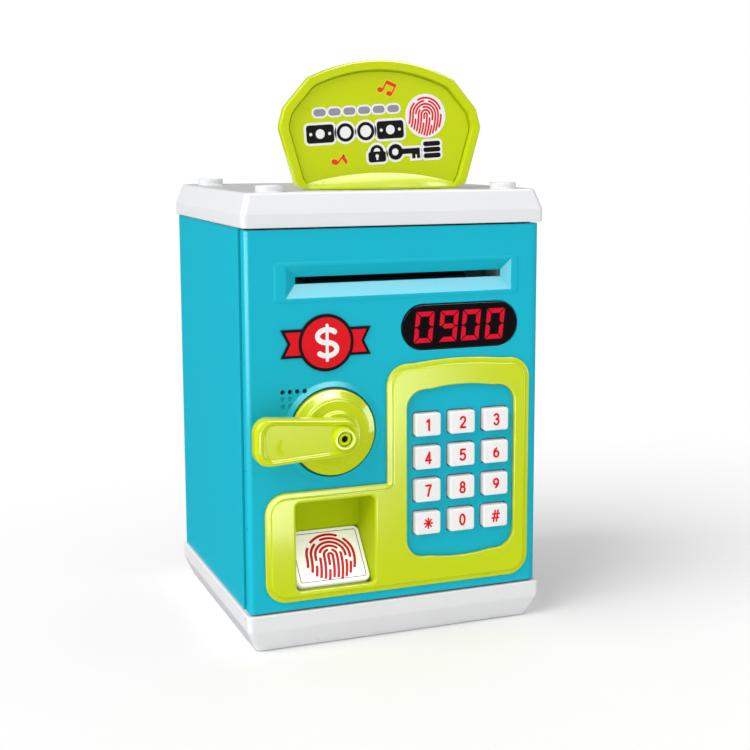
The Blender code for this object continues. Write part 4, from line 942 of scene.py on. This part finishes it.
def door_outline():
    """The door from above: a stepped left return and a half-round hinge barrel."""
    step_x, step_y = -BODY_X + LEFT_STEP, FRONT_Y + LEFT_FLANGE
    left = [(step_x, DOOR_REAR_Y, 0), (step_x, step_y, 0), (-BODY_X, step_y, 0), (-BODY_X, FRONT_Y, EDGE_R)]
    barrel = arc((HINGE.x, HINGE.y), HINGE_R, -90, 90, 28)
    return rounded(left + [(x, y, 0) for x, y in barrel])


def door_blank():
    """The door as a solid bar with rounded top and bottom edges."""
    outline, low, high, r = door_outline(), DOOR_LOW.z, DOOR_HIGH.z, 0.4
    profile = quarter((0, low + r), (r, low))[::-1] + quarter((0, high - r), (r, high))
    return loft("door_front", [[(x, y, z) for x, y in inset(outline, depth)] for depth, z in profile])


def slot_funnel():
    """The bill slot's sloping mouth and its throat."""
    left, right, low, high = SLOT_THROAT
    bm = bmesh.new()
    mouth_left, mouth_right, mouth_low, mouth_high = SLOT_MOUTH
    made = add_box(bm, (mouth_left, FRONT_Y - 0.9, mouth_low), (mouth_right, SLOT_THROAT_Y, mouth_high))
    for vert in made:
        if abs(vert.co.y - SLOT_THROAT_Y * MM) < 1e-6:
            vert.co.x = (left if vert.co.x < 0 else right) * MM
            vert.co.z = (low if vert.co.z < (low + high) / 2 * MM else high) * MM
    funnel = from_bmesh("slot_mouth", bm)
    throat = boxes(((left + 0.1, SLOT_THROAT_Y - 0.5, low + 0.1), (right - 0.1, -51.5, high - 0.1)))
    return [funnel, throat]


def slot_frame():
    """The low frame about the slot."""
    outline = rectangle(*SLOT_FRAME, 2.2)
    return banked("slot_frame", outline, [(depth, FRONT_Y + y) for depth, y in SLOT_FRAME_SLOPE])


def door_inside():
    """Screw posts, the bolt's rails, the spring's post and backings."""
    inside = PLATE_BACK_Y - 0.8
    bolt_z = (BOLT_LOW.z + BOLT_HIGH.z) / 2
    half = (BOLT_HIGH.z - BOLT_LOW.z) / 2
    rails = [((-50, inside, z), (-42, -40, z + 2.5)) for z in (bolt_z - half - 2.9, bolt_z + half + 0.4)]
    spring_post = ((-11, inside, BOLT_LOW.z), (-9, -40, BOLT_HIGH.z))
    posts = [(p.x, inside, p.z) for p in COVER_SCREWS]
    centre = [on_shaft(inside)]
    return [
        rods("Y", posts, BOSS_END_Y - inside, 3.2, sides=32),
        boxes(*rails, spring_post),
        rods("Y", centre, 6.0, 6.0),
        rods("Y", centre, 2.2, RECESS_R + 0.9),
    ]


def ring_lip():
    """A raised ring about the knob's recess."""
    inner, outer, height = LIP
    profile = [(outer, -0.3), (outer, 0.05), (outer - 0.4, 0.2), (inner + 0.6, height - 0.1)]
    profile += [(inner + 0.25, height), (inner, height - 0.25), (inner, -0.3)]
    ring = turned("door_ring", "-Y", on_shaft(FRONT_Y), profile, sides=128)
    last_hole = (SPEAKER_COLUMNS[-1], FRONT_Y - 5, SPEAKER_ROWS[0])
    cut(ring, rods("Y", [last_hole], 10, SPEAKER_HOLE_R, sides=24))
    piece(ring, "door", BLUE, "blue_shell", smooth=50)


def ring_recess():
    floor_r = LIP[0]
    profile = [(0, -3), (floor_r, -3), (floor_r, RECESS_DEPTH), (0, RECESS_DEPTH)]
    return turned("ring_recess", "Y", on_shaft(FRONT_Y), profile)


def door():
    """The front shell with its slot, window, key holes, recess and sound holes."""
    shell = door_blank()
    cut(shell, boxes(((-INNER_X, PLATE_BACK_Y, DOOR_LOW.z + WALL), (56.5, -30, DOOR_HIGH.z - WALL))))
    block = boxes(((-50, FRONT_Y + 1, SLOT_FRAME[2] - 1), (50, SLOT_BLOCK_Y, SLOT_FRAME[3] + 1)))
    fuse(shell, slot_frame(), block, *door_inside())
    cut(shell, *slot_funnel(), ring_recess())
    lens = middle("display_lens")
    size = LENS_HIGH - LENS_LOW
    window = stadium(lens.x + 0.25, lens.z, size.x - WINDOW_NARROWER + 2 * FIT, size.z + 2 * FIT)
    cut(shell, flared(window, FRONT_Y, PLATE_BACK_Y + 2, 0.7))
    cut(shell, *[flared(key_hole(name), FRONT_Y, PLATE_BACK_Y + 2, 0.2) for name in KEY_NAMES])
    cut(shell, plate("pocket_hole", [pocket_outline(-1.9)], FRONT_Y - 2, PLATE_BACK_Y + 2))
    cut(shell, rods("Y", [on_shaft(FRONT_Y - 3)], 20, 3.12, sides=32))
    holes = [(x, FRONT_Y - 3, SPEAKER_ROWS[0]) for x in SPEAKER_COLUMNS]
    dimples = [(x, FRONT_Y - 3, z) for x in SPEAKER_COLUMNS[:2] for z in SPEAKER_ROWS[1:]]
    cut(shell, rods("Y", holes, 12, SPEAKER_HOLE_R, sides=24))
    cut(shell, rods("Y", dimples, 3.5, SPEAKER_HOLE_R, sides=24))
    out_x, in_x = -BODY_X - 1, -BODY_X + 0.4
    notches = [((out_x, FRONT_Y + 2.2, z - 0.5), (in_x, FRONT_Y + 3.4, z + 0.5)) for z in EDGE_NOTCHES]
    cut(shell, boxes(*notches))
    screw_holes = [(p.x, BOSS_END_Y - 12, p.z) for p in COVER_SCREWS]
    cut(shell, rods("Y", screw_holes, 20, SCREW_HOLE_R, sides=20))
    pin_holes = [(HINGE.x, HINGE.y, DOOR_LOW.z - 2), (HINGE.x, HINGE.y, DOOR_HIGH.z - 9)]
    cut(shell, rods("Z", pin_holes, 11, PIN_HOLE_R, sides=24))
    piece(shell, "door", BLUE, "blue_shell", "door_shell")
    ring_lip()


# ---- keypad bezel and pocket

KEY_NAMES = ("1", "2", "3", "4", "5", "6", "7", "8", "9", "star", "0", "hash")
KEY_W, KEY_H = 11.5, 9.7
KEY_MARGIN = 0.45
BEZEL_ARCH = 1.6
BEZEL_RIM = 2.3
BEZEL_RIM_DROP = 0.9
BEZEL_TOP = BEZEL_HIGH.z - BEZEL_ARCH
BEZEL_STEP = (-5.6, 67.4)
BEZEL_FRONT_Y = FRONT_Y - 2.0
BEZEL_BACK_Y = FRONT_Y - FIT
KEY_WINDOW = (3.0, 53.0, 34.3, 106.2)
WINDOW_BOW = 1.6
POCKET = (-45.9, -11.5, 25.4, 62.9)
POCKET_DEEP_Y = -40.0
POCKET_WALL = 1.5
PAD_TILT = radians(41.8)
PAD_CENTRE = Vector((-28.4, -49.07, 35.83))
PAD_W, PAD_L, PAD_THICK = 32.2, 25.4, 2.4
PAD_PLACE = Matrix.Translation(PAD_CENTRE * MM) @ Matrix.Rotation(-PAD_TILT, 4, "X")


def key_hole(name):
    centre = middle(f"key_{name}")
    return centred(centre.x, centre.z, KEY_W + 2 * KEY_MARGIN, KEY_H + 2 * KEY_MARGIN, 1.4, steps=4)


def pocket_outline(depth=0.0, r=2.0):
    left, right, low, high = POCKET
    return rectangle(left + depth, right - depth, low + depth, high - depth, r)


def bezel_outline():
    """The L-shaped frame: wide below, with the keypad column at the right."""
    step_x, step_z = BEZEL_STEP
    left, right, low = BEZEL_LOW.x + 1.0, BEZEL_HIGH.x - 0.5, BEZEL_LOW.z
    corners = [(left, low, 9), (right, low, 9), (right, BEZEL_TOP, 9)]
    corners += [(x, z, 0) for x, z in bowed((50, BEZEL_TOP), (4, BEZEL_TOP), BEZEL_ARCH)]
    corners += [(step_x, BEZEL_TOP, 9), (step_x, step_z, 0.4), (left, step_z, 9)]
    return rounded(corners, steps=12)


def key_window_outline():
    left, right, low, high = KEY_WINDOW
    corners = [(left, low, 8)]
    corners += [(x, z, 0) for x, z in bowed((left + 9, low), (right - 9, low), WINDOW_BOW)]
    corners += [(right, low, 8), (right, high, 8)]
    corners += [(x, z, 0) for x, z in bowed((right - 9, high), (left + 9, high), WINDOW_BOW)]
    corners += [(left, high, 8)]
    return rounded(corners, steps=10)


def bezel():
    """The lime frame: a lower rim, a raised face, the key window and the pocket."""
    rim_y = BEZEL_FRONT_Y + BEZEL_RIM_DROP
    profile = [(0, BEZEL_BACK_Y)] + quarter((0, rim_y + 0.6), (0.6, rim_y))
    profile += [(BEZEL_RIM - 0.3, rim_y), (BEZEL_RIM - 0.08, rim_y - 0.1)]
    profile += quarter((BEZEL_RIM, BEZEL_FRONT_Y + 0.6), (BEZEL_RIM + 0.6, BEZEL_FRONT_Y))
    body = banked("door_bezel", bezel_outline(), profile)
    window = flared(key_window_outline(), BEZEL_FRONT_Y, FRONT_Y + 3, 0.5)
    cut(body, window, flared(pocket_outline(), BEZEL_FRONT_Y, POCKET_DEEP_Y, 1.2))
    piece(body, "door", LIME, "lime_trim", "keypad_bezel")


def pocket():
    """The tray behind the bezel, open below the pad."""
    front = BEZEL_BACK_Y - 0.8
    tray = plate("pad_pocket", [pocket_outline(-POCKET_WALL, 3.0)], front, POCKET_DEEP_Y + POCKET_WALL)
    inside = plate("pocket_inside", [pocket_outline()], front - 2, POCKET_DEEP_Y)
    side = PAD_W / 2 + 2 * FIT
    under_pad = boxes(((-side, -PAD_THICK - 2 * FIT, -PAD_L / 2 - 1.2), (side, 30, PAD_L / 2 + 0.8)))
    under_pad.matrix_world = PAD_PLACE
    cut(tray, inside, under_pad)
    # The pocket's darker lime is painted shade.
    piece(tray, "door", LIME_SATIN_SHADED, "lime_trim")


def pad():
    """The white pad with its thin grey line and its red print."""
    outline = centred(0, 0, PAD_W, PAD_L, 2.6)
    upright = PAD_PLACE @ TO_FRONT
    inside = upright @ Matrix.Translation((0, 0, -PAD_THICK / 2 * MM))
    button = flat("pad_button", [outline], PAD_THICK, 0.5, place=inside)
    stem = rods("Y", [(0, PAD_THICK - 0.5, 0)], 4.5, 2.0, sides=24)
    stem.matrix_world = PAD_PLACE
    fuse(button, stem)
    # The button glows faintly: painted light against the pocket's shade.
    piece(button, "finger_pad", PAD_WHITE, "key_white", "fingerprint_pad")
    line = [inset(outline, 1.5), inset(outline, 1.85)]
    piece(flat("pad_line", line, PRINT_HEIGHT, place=upright), "finger_pad", GREY_INK, "key_white")
    print_place = upright @ Matrix.Translation((0.9 * MM, -0.6 * MM, 0)) @ Matrix.Diagonal((1.08, 1, 1, 1))
    ridges = print_apart("pad_print", fingerprint(11.2, 1.75), 1.1, print_place)
    piece(ridges, "finger_pad", RED_INK, "badge_print")


# ---- keys, display and badge


def key_cap():
    """One key, with a flange behind the door's front."""
    low, high = span("key_1")
    centre = middle("key_1")
    outline = centred(centre.x, centre.z, KEY_W, KEY_H, 1.1)
    cap_solid = plate("key_cap", [outline], low.y, high.y - 0.2, 0.7)
    flange = boxes(((low.x, PLATE_BACK_Y + FIT, low.z), (high.x, high.y, high.z)))
    return fuse(cap_solid, flange).data, centre


LEGEND_WIDER, LEGEND_TALLER = 0.92, 1.08


def keys():
    mesh, first = key_cap()
    bpy.data.objects.remove(bpy.data.objects["key_cap"], do_unlink=True)
    for name in KEY_NAMES:
        centre = middle(f"key_{name}")
        cap_object = new_object(f"key_cap_{name}", mesh.copy())
        cap_object.location = (centre - first) * MM
        piece(cap_object, f"key_{name}_cap", KEY_WHITE, "key_white", f"key_{name}")
        front = span(f"key_{name}")[0].y
        place = facing_front(centre.x, front, centre.z)
        width = {"star": 0.7, "hash": 0.8}.get(name, 0.92)
        strokes = [[(LEGEND_WIDER * x, LEGEND_TALLER * z) for x, z in path] for path in glyph(name)]
        legend = print_of(f"legend_{name}", strokes, width, place)
        piece(legend, f"key_{name}_cap", RED_INK, "badge_print")


def glyph(name):
    """The strokes of a numeral or sign, about its centre."""
    six = [arc((0, -0.9), 1.15, 0, 360, 32), arc((1.05, -0.6), 2.2, 115, 178, 12)]
    star = [[(-x, -z), (x, z)] for x, z in arc((0, 0), 2, 0, 135, 3)]
    s_curve = [(4.1 * x, 2.7 * z + 2.7) for x, z in arc((0, 0), 1, 38, 262, 28)]
    s_curve += [(4.1 * x, 2.7 * z - 2.7) for x, z in arc((0, 0), 1, 82, -142, 28)]
    shapes = {
        "1": [[(-0.8, 1.3), (0.25, 2.1)], [(0.25, 2.1), (0.25, -2.1)]],
        "2": [arc((0, 0.95), 1.15, 165, -35, 16) + [(-1.1, -2.0)], [(-1.15, -2.1), (1.25, -2.1)]],
        "3": [arc((-0.1, 1.05), 1.05, 150, -90, 16), arc((-0.1, -0.95), 1.15, 90, -155, 18)],
        "4": [[(1.2, -1.0), (-1.3, -1.0)], [(-1.3, -1.0), (0.5, 2.1)], [(0.5, 2.1), (0.5, -2.1)]],
        "5": [[(1.1, 2.1), (-0.85, 2.1)], [(-0.85, 2.1), (-1.0, 0.2)],
              arc((-0.05, -0.75), 1.3, 135, -145, 18)],
        "6": six,
        "7": [[(-1.2, 2.1), (1.2, 2.1)], [(1.2, 2.1), (0.4, 0.3), (-0.2, -2.1)]],
        "8": [arc((0, 1.12), 0.95, 0, 360, 28), arc((0, -0.98), 1.13, 0, 360, 28)],
        "9": [[(-x, -z) for x, z in path] for path in six],
        "0": [[(1.15 * x, 2.05 * z) for x, z in arc((0, 0), 1, 0, 360, 36)]],
        "star": star,
        "hash": [[(-1.1, -2.2), (-0.3, 2.2)], [(0.4, -2.2), (1.2, 2.2)],
                 [(-1.5, 0.8), (1.8, 0.8)], [(-1.8, -0.8), (1.5, -0.8)]],
        "currency": [s_curve],
        "bar": [[(0, 7.2), (0, -7.2)]],
    }
    return shapes[name]


DIGIT_W, DIGIT_H, DIGIT_BAR = 8.3, 13.1, 2.0
DIGIT_SLANT = tan(radians(5.5))
SEGMENTS = {"0": "abcdef", "9": "abcdfg"}


def segment_bar(name):
    """One mitred bar of the seven-bar digit."""
    w, h, t, gap = DIGIT_W / 2, DIGIT_H / 2, DIGIT_BAR, 0.3
    top = [(-w + gap, h), (-w + t + gap, h - t), (w - t - gap, h - t), (w - gap, h)]
    side = [(w, h - gap), (w - t, h - t - gap), (w - t, t / 2 + gap), (w - t / 2, gap), (w, gap)]
    middle_bar = [(-w + gap + t / 2, 0), (-w + t + gap, -t / 2), (w - t - gap, -t / 2), (w - gap - t / 2, 0)]
    middle_bar += [(w - t - gap, t / 2), (-w + t + gap, t / 2)]
    bars = {
        "a": top, "b": side, "g": middle_bar,
        "c": [(x, -z) for x, z in side], "d": [(x, -z) for x, z in top],
        "e": [(-x, -z) for x, z in side], "f": [(-x, z) for x, z in side],
    }
    return bars[name]


def display():
    """The glossy window with four lit digits under its face."""
    lens = middle("display_lens")
    size = LENS_HIGH - LENS_LOW
    outline = stadium(lens.x + 0.25, lens.z, size.x - WINDOW_NARROWER, size.z)
    window = plate("display_window", [outline], LENS_LOW.y, LENS_HIGH.y, 0.35)
    piece(window, "door", WINDOW, "display_black", "display_lens")
    for number, (digit, offset) in enumerate(zip("0900", (-16.5, -5.4, 4.9, 16.1)), 1):
        loops = []
        for name in SEGMENTS[digit]:
            bar = [(x + z * DIGIT_SLANT, z) for x, z in segment_bar(name)]
            loops.append(at(bar, lens.x + offset, lens.z))
        digits = plate(f"display_digit_{number}", loops, LENS_LOW.y - 0.06, LENS_LOW.y + 0.1)
        piece(digits, "door", LIT, "badge_print")


BADGE_R = 11.8
BADGE_RING = 1.35
RIBBON_EDGE = 1.15
RIBBON_NOTCH = 3.0


def ribbon_outline():
    """The ribbon with its swallow tails."""
    centre_z = middle("badge").z
    low, high = centre_z - 5.7, centre_z + 6.0
    mid = (low + high) / 2
    left, right = BADGE_LOW.x, BADGE_HIGH.x
    tail_right = [(right, low), (right - RIBBON_NOTCH, mid), (right, high)]
    return [(left, low), *tail_right, (left, high), (left + RIBBON_NOTCH, mid)]


def badge():
    """The round badge over its ribbon, with a currency sign."""
    centre = middle("badge")
    back = BADGE_HIGH.y
    ribbon = ribbon_outline()
    layers = [
        ("badge_ribbon_edge", ribbon, 0.25, 0.0, 0.0, BLACK_INK),
        ("badge_ribbon", inset(ribbon, RIBBON_EDGE), 0.32, 0.1, 0.0, RED_INK),
        ("badge_disc_edge", circle(centre.x, centre.z, BADGE_R), 0.42, 0.05, 0.08, BLACK_INK),
        ("badge_disc", circle(centre.x, centre.z, BADGE_R - BADGE_RING), 0.48, 0.1, 0.05, RED_INK),
    ]
    for name, outline, proud, sunk, edge, ink in layers:
        layer = plate(name, [outline], back - proud, back - sunk, edge)
        piece(layer, "door", ink, "badge_print", *(["badge"] if outline is ribbon else []))
    place = facing_front(centre.x + 0.3, back - 0.5, centre.z)
    sign_mark = fuse(print_of("badge_sign", glyph("currency"), 2.1, place),
                     print_of("badge_bar", glyph("bar"), 1.3, place))
    piece(sign_mark, "door", WHITE_INK, "key_white")


# ---- handle

LEVER_LENGTH = 36.5
LEVER_TIP_HALF = 10.1
LEVER_ROOT_R = 7.8


def knob():
    """The round disc with two raised rings."""
    back = KNOB_HIGH.y
    r = KNOB_HIGH.x - HANDLE.x
    corners = [(3.3, 0, 0), (r, 0, 0.3), (r, 3.3, 0.9), (14.6, 5.2, 0.7)]
    corners += [(13.9, 6.9, 0.5), (9.7, 7.3, 0.7), (9.0, 8.9, 0.5), (3.3, 8.9, 0)]
    disc = turned("handle_knob", "-Y", on_shaft(back), rounded(corners, steps=6), sides=128)
    piece(disc, "handle", LIME, "lime_trim", "knob_disc", smooth=50)


def lever_outline(depth=0.0, tip_extra=0.0):
    """The lever: a broad tip at the left and a round root on the shaft."""
    tip = HANDLE.x - LEVER_LENGTH + depth + tip_extra
    half = LEVER_TIP_HALF - depth
    root = arc((HANDLE.x, HANDLE.z), LEVER_ROOT_R - depth, -80, 80, 24)
    r = max(2.0, 6.0 - depth * 0.7)
    low, high = ((tip, HANDLE.z + side * half + 0.4, r) for side in (-1, 1))
    return rounded([low, *[(x, z, 0) for x, z in root], high], steps=12)


def lever():
    """A rounded rim, a step and a gently hollow face, with a hub for the screw."""
    face_y, back_y = LEVER_HIGH.y - 6.2, LEVER_HIGH.y
    rim = [(0.5, back_y), (0.12, back_y - 0.15), (0.0, back_y - 0.6)]
    rim += quarter((0.0, face_y + 2.2), (1.5, face_y), 8)
    step = ((1.7, 0.02), (1.9, 0.25), (2.1, 0.30), (2.4, 0.34), (2.7, 0.8))
    rim += [(depth, face_y + drop) for depth, drop in step]
    rings = []
    for depth, y in rim:
        extra = 1.4 * min(1.0, depth / 2.7) if depth > 0.12 and y < back_y - 1 else 0.0
        rings.append([(x, y, z) for x, z in lever_outline(depth, extra)])
    arm = loft("handle_arm", rings)
    hub = [(0, 1.5, 0), (5.2, 1.5, 0), (4.5, -2.5, 0.7), (0, -2.5, 0)]
    ring = turned("handle_hub", "Y", on_shaft(face_y), rounded(hub, steps=5))
    recess = [(0, -6, 0), (3.5, -6, 0), (3.5, -2.5, 0.3), (3.0, -1.9, 0.3), (3.0, -0.1, 0), (0, -0.1, 0)]
    cut(ring, turned("hub_recess", "Y", on_shaft(face_y), rounded(recess)))
    cut(ring, rods("Y", [on_shaft(face_y - 4)], 14, SCREW_HOLE_R, sides=32))
    piece(ring, "handle", LIME, "lime_trim", smooth=40)
    cut(arm, rods("Y", [on_shaft(face_y - 4)], 14, SCREW_HOLE_R, sides=32))
    soften(arm, 0.3, angle=40)
    piece(arm, "handle", LIME, "lime_trim", "handle_lever", smooth=40)
    arrow_mark(face_y + 0.8)


def handle_screw():
    """The lime screw in the hub, with a black disc in its socket as painted shade."""
    low, high = span("handle_screw")
    centre = on_shaft(high.y)
    length = high.y - low.y
    head_r = (high.x - low.x) / 2
    shank = [(0, 0, 0), (1.3, 0, 0), (1.3, length - 1.4, 0), (head_r, length - 1.4, 0), (head_r, length, 0.4)]
    socket = [(1.45, length, 0.15), (1.3, length - 1.1, 0), (0, length - 1.1, 0)]
    screw = turned("hub_screw", "-Y", centre, rounded(shank + socket, steps=3), sides=64)
    piece(screw, "handle", LIME, "lime_trim", "handle_screw")
    # A black disc inside the socket: painted shade, since the lime socket is dark only from shade.
    socket_shade = rods("-Y", [on_shaft(low.y + 1.12)], 0.25, 1.28, sides=32)
    socket_shade.name = "hub_screw_socket_shade"
    piece(socket_shade, "handle", BLACK_INK, "display_black")


def arrow_mark(surface_y):
    """A small raised crescent near the lever's tip."""
    x, z = HANDLE.x - 24.5, HANDLE.z - 1.4
    outer = arc((x, z), 3.4, 120, 250, 16)
    inner = arc((x + 0.9, z), 2.9, 245, 125, 16)
    mark = plate("handle_arrow", [outer + inner], surface_y - 0.3, surface_y + 0.2, 0.1)
    piece(mark, "handle", LIME, "lime_trim")


# ---- inner parts


def latch_spring():
    """A wire coil as long as the CAD spring."""
    low, high = span("latch_spring")
    centre, length = (low + high) / 2, high.x - low.x
    wire, turns, per_turn = 0.3, 6, 24
    r = (high.z - low.z) / 2 - wire
    curve = bpy.data.curves.new("return_spring", "CURVE")
    curve.dimensions = "3D"
    curve.bevel_depth = wire * MM
    curve.bevel_resolution = 3
    curve.use_fill_caps = True
    spline = curve.splines.new("POLY")
    spline.points.add(turns * per_turn)
    coil = arc((centre.y, centre.z), r, 0, 360 * turns, turns * per_turn)
    for i, (point, (y, z)) in enumerate(zip(spline.points, coil)):
        t = i / (turns * per_turn)
        x = low.x + wire + (length - 2 * wire) * (t - 0.3 * sin(2 * pi * t) / pi)
        point.co = (x * MM, y * MM, z * MM, 1.0)
    spring = baked(new_object("return_spring", curve))
    piece(spring, "door", STEEL, "steel", "latch_spring", smooth=60)
    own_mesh(spring)


def inner_parts():
    """The CAD nodes that keep their shape, with the size of their edges."""
    plans = [
        (INNER, 0.5, ["door_back_cover"]),
        (INNER, 0.3, ["battery_cover", "roller_frame", "latch_bolt"]),
        (INNER, 0.1, ["drive_gear"]),
        (STEEL, 0.15, ["hinge_pin_bottom", "hinge_pin_top", "handle_shaft", "lock_solenoid", "roller_motor"]),
        (STEEL, 0.12, ["battery_cover_screw", *[f"cover_screw_{i}" for i in (1, 2, 3, 4)]]),
        (STEEL, 0.12, [f"base_screw_{i}" for i in (1, 2, 3, 4)]),
        (STEEL, 0.05, ["battery_contact_left", "battery_contact_right"]),
        (BRASS, 0.06, ["motor_pinion"]),
        (RUBBER, 0.2, ["drive_roller", "pinch_roller", "speaker"]),
        (RUBBER, 0.0, ["speaker_cable", "motor_cable"]),
        (GREY_RUBBER, 0.15, ["key_mat"]),
        (BOARD, 0.12, ["keypad_board", "display_module", "pad_switch_board"]),
        (JACKET, 0.3, ["battery_1", "battery_2", "battery_3"]),
    ]
    for material, edge, names in plans:
        for name in names:
            dress(name, material, edge)


# ---- studio

CAMERA_PLACE = (-207.7, -585.1, 210.4)
CAMERA_AZIMUTH = -22.0
CAMERA_ELEVATION = 8.3
CAMERA_LENS = 66.1
CAMERA_SHIFT = -0.0467


def camera():
    data = bpy.data.cameras.new("camera")
    data.lens = CAMERA_LENS
    data.shift_x = CAMERA_SHIFT
    data.shift_y = CAMERA_SHIFT
    obj = new_object("camera", data)
    obj.location = Vector(CAMERA_PLACE) * MM
    obj.rotation_euler = Euler((radians(90 - CAMERA_ELEVATION), 0, radians(CAMERA_AZIMUTH)))
    bpy.context.scene.camera = obj


def aim(obj, place, target):
    obj.location = place
    obj.rotation_euler = (Vector(target) - Vector(place)).to_track_quat("-Z", "Y").to_euler()


def card(name, place, target, size, glare, *shines_on):
    """A soft box seen only as a highlight; given pieces, only on those."""
    data = bpy.data.lights.new(name, "AREA")
    data.shape = "RECTANGLE"
    data.size, data.size_y = size
    data.energy = glare * pi * size[0] * size[1]
    obj = new_object(name, data)
    aim(obj, place, target)
    obj.visible_camera = False
    obj.visible_diffuse = False
    if shines_on:
        group = bpy.data.collections.new(name)
        for shiny in shines_on:
            group.objects.link(bpy.data.objects[shiny])
        obj.light_linking.receiver_collection = group
    return obj


def floor_card(name, place, turn, glare, fade_from, *shines_on):
    """A card on the floor that fades out along its turned X axis."""
    lamp = card(name, (*place, 0.004), (0, 0, 0), (0.4, 0.6), 1.0, *shines_on)
    lamp.rotation_euler = (pi, 0, radians(turn))
    lamp.data.use_nodes = True
    tree = lamp.data.node_tree
    across = add_node(tree, "SeparateXYZ", "X", {0: add_node(tree, "NewGeometry", "Parametric", {})})
    values = {"Value": across, "From Min": 1.0, "From Max": fade_from, "To Min": 0.0, "To Max": glare}
    fade = add_node(tree, "MapRange", "Result", values, interpolation_type="SMOOTHSTEP")
    feed(tree, tree.nodes["Emission"].inputs["Strength"], fade)


def sky_light():
    """One broad light from above and the left."""
    data = bpy.data.lights.new("sky_light", "SUN")
    data.angle = radians(50)
    data.energy = 1.90
    aim(new_object("sky_light", data), (-0.75, -0.22, 0.68), (0, 0, 0))


def floor():
    bm = bmesh.new()
    bmesh.ops.create_grid(bm, x_segments=1, y_segments=1, size=6.0)
    obj = from_bmesh("floor", bm)
    recipe = Recipe("pale_floor", 0.6, specular=0.0)
    recipe.set("Base Color", recipe.clouded(400.0, (0.92, 0.92, 0.92), (0.93, 0.93, 0.93)))
    obj.data.materials.append(recipe.material)
    obj.visible_glossy = False


def world():
    """A white room, dimmer as a light than it looks and dark in reflections."""
    room = bpy.data.worlds.new("studio")
    room.use_nodes = True
    bpy.context.scene.world = room
    strength = 0.70
    for ray, value in (("Is Camera Ray", 1.0), ("Is Glossy Ray", 0.05)):
        rays = add_node(room.node_tree, "LightPath", ray, {})
        strength = add_node(room.node_tree, "Mix", 0, {0: rays, 2: strength, 3: value})
    background = room.node_tree.nodes["Background"]
    feed(room.node_tree, background.inputs["Strength"], strength)
    background.inputs["Color"].default_value = (1, 1, 1, 1)


def studio():
    floor()
    world()
    camera()
    sky_light()
    card("upper_card", (0.27, -0.39, 0.80), (0, 0, 0.12), (0.75, 0.30), 9.0)
    card("top_card", (0.27, -0.08, 0.92), (0, -0.04, 0.2), (0.6, 0.5), 6.0, "sign")
    card("knob_card", (-0.14, -0.50, 0.78), (0, 0, 0.10), (1.1, 0.45), 12.0, "handle_knob")
    card("ring_card", (0.05, -0.74, 0.58), (0, 0, 0.10), (1.0, 0.5), 5.0, "door_ring")
    lime = ("handle_knob", "handle_arm", "door_bezel")
    card("right_card", (0.75, -0.25, 0.10), (0, 0, 0.12), (0.4, 0.4), 5.0, *lime)
    card("left_card", (-0.75, -0.35, 0.08), (0, 0, 0.10), (1.1, 0.24), 7.0, "door_front", "case_base")
    floor_card("low_card", (0.03, -0.53), 32, 9.0, 0.7, "door_bezel")
    floor_card("lever_card", (-0.015, -0.669), 63, 9.0, 0.7, "handle_arm")
    floor_card("hub_card", (0.09, -0.48), 63, 10.0, 0.95, "handle_hub")
    bpy.context.scene.view_settings.view_transform = "Standard"


# ---- assembly

base()
walls()
cap()
sign()
sign_graphics()
door()
bezel()
pocket()
pad()
keys()
display()
badge()
knob()
lever()
handle_screw()
latch_spring()
inner_parts()
studio()
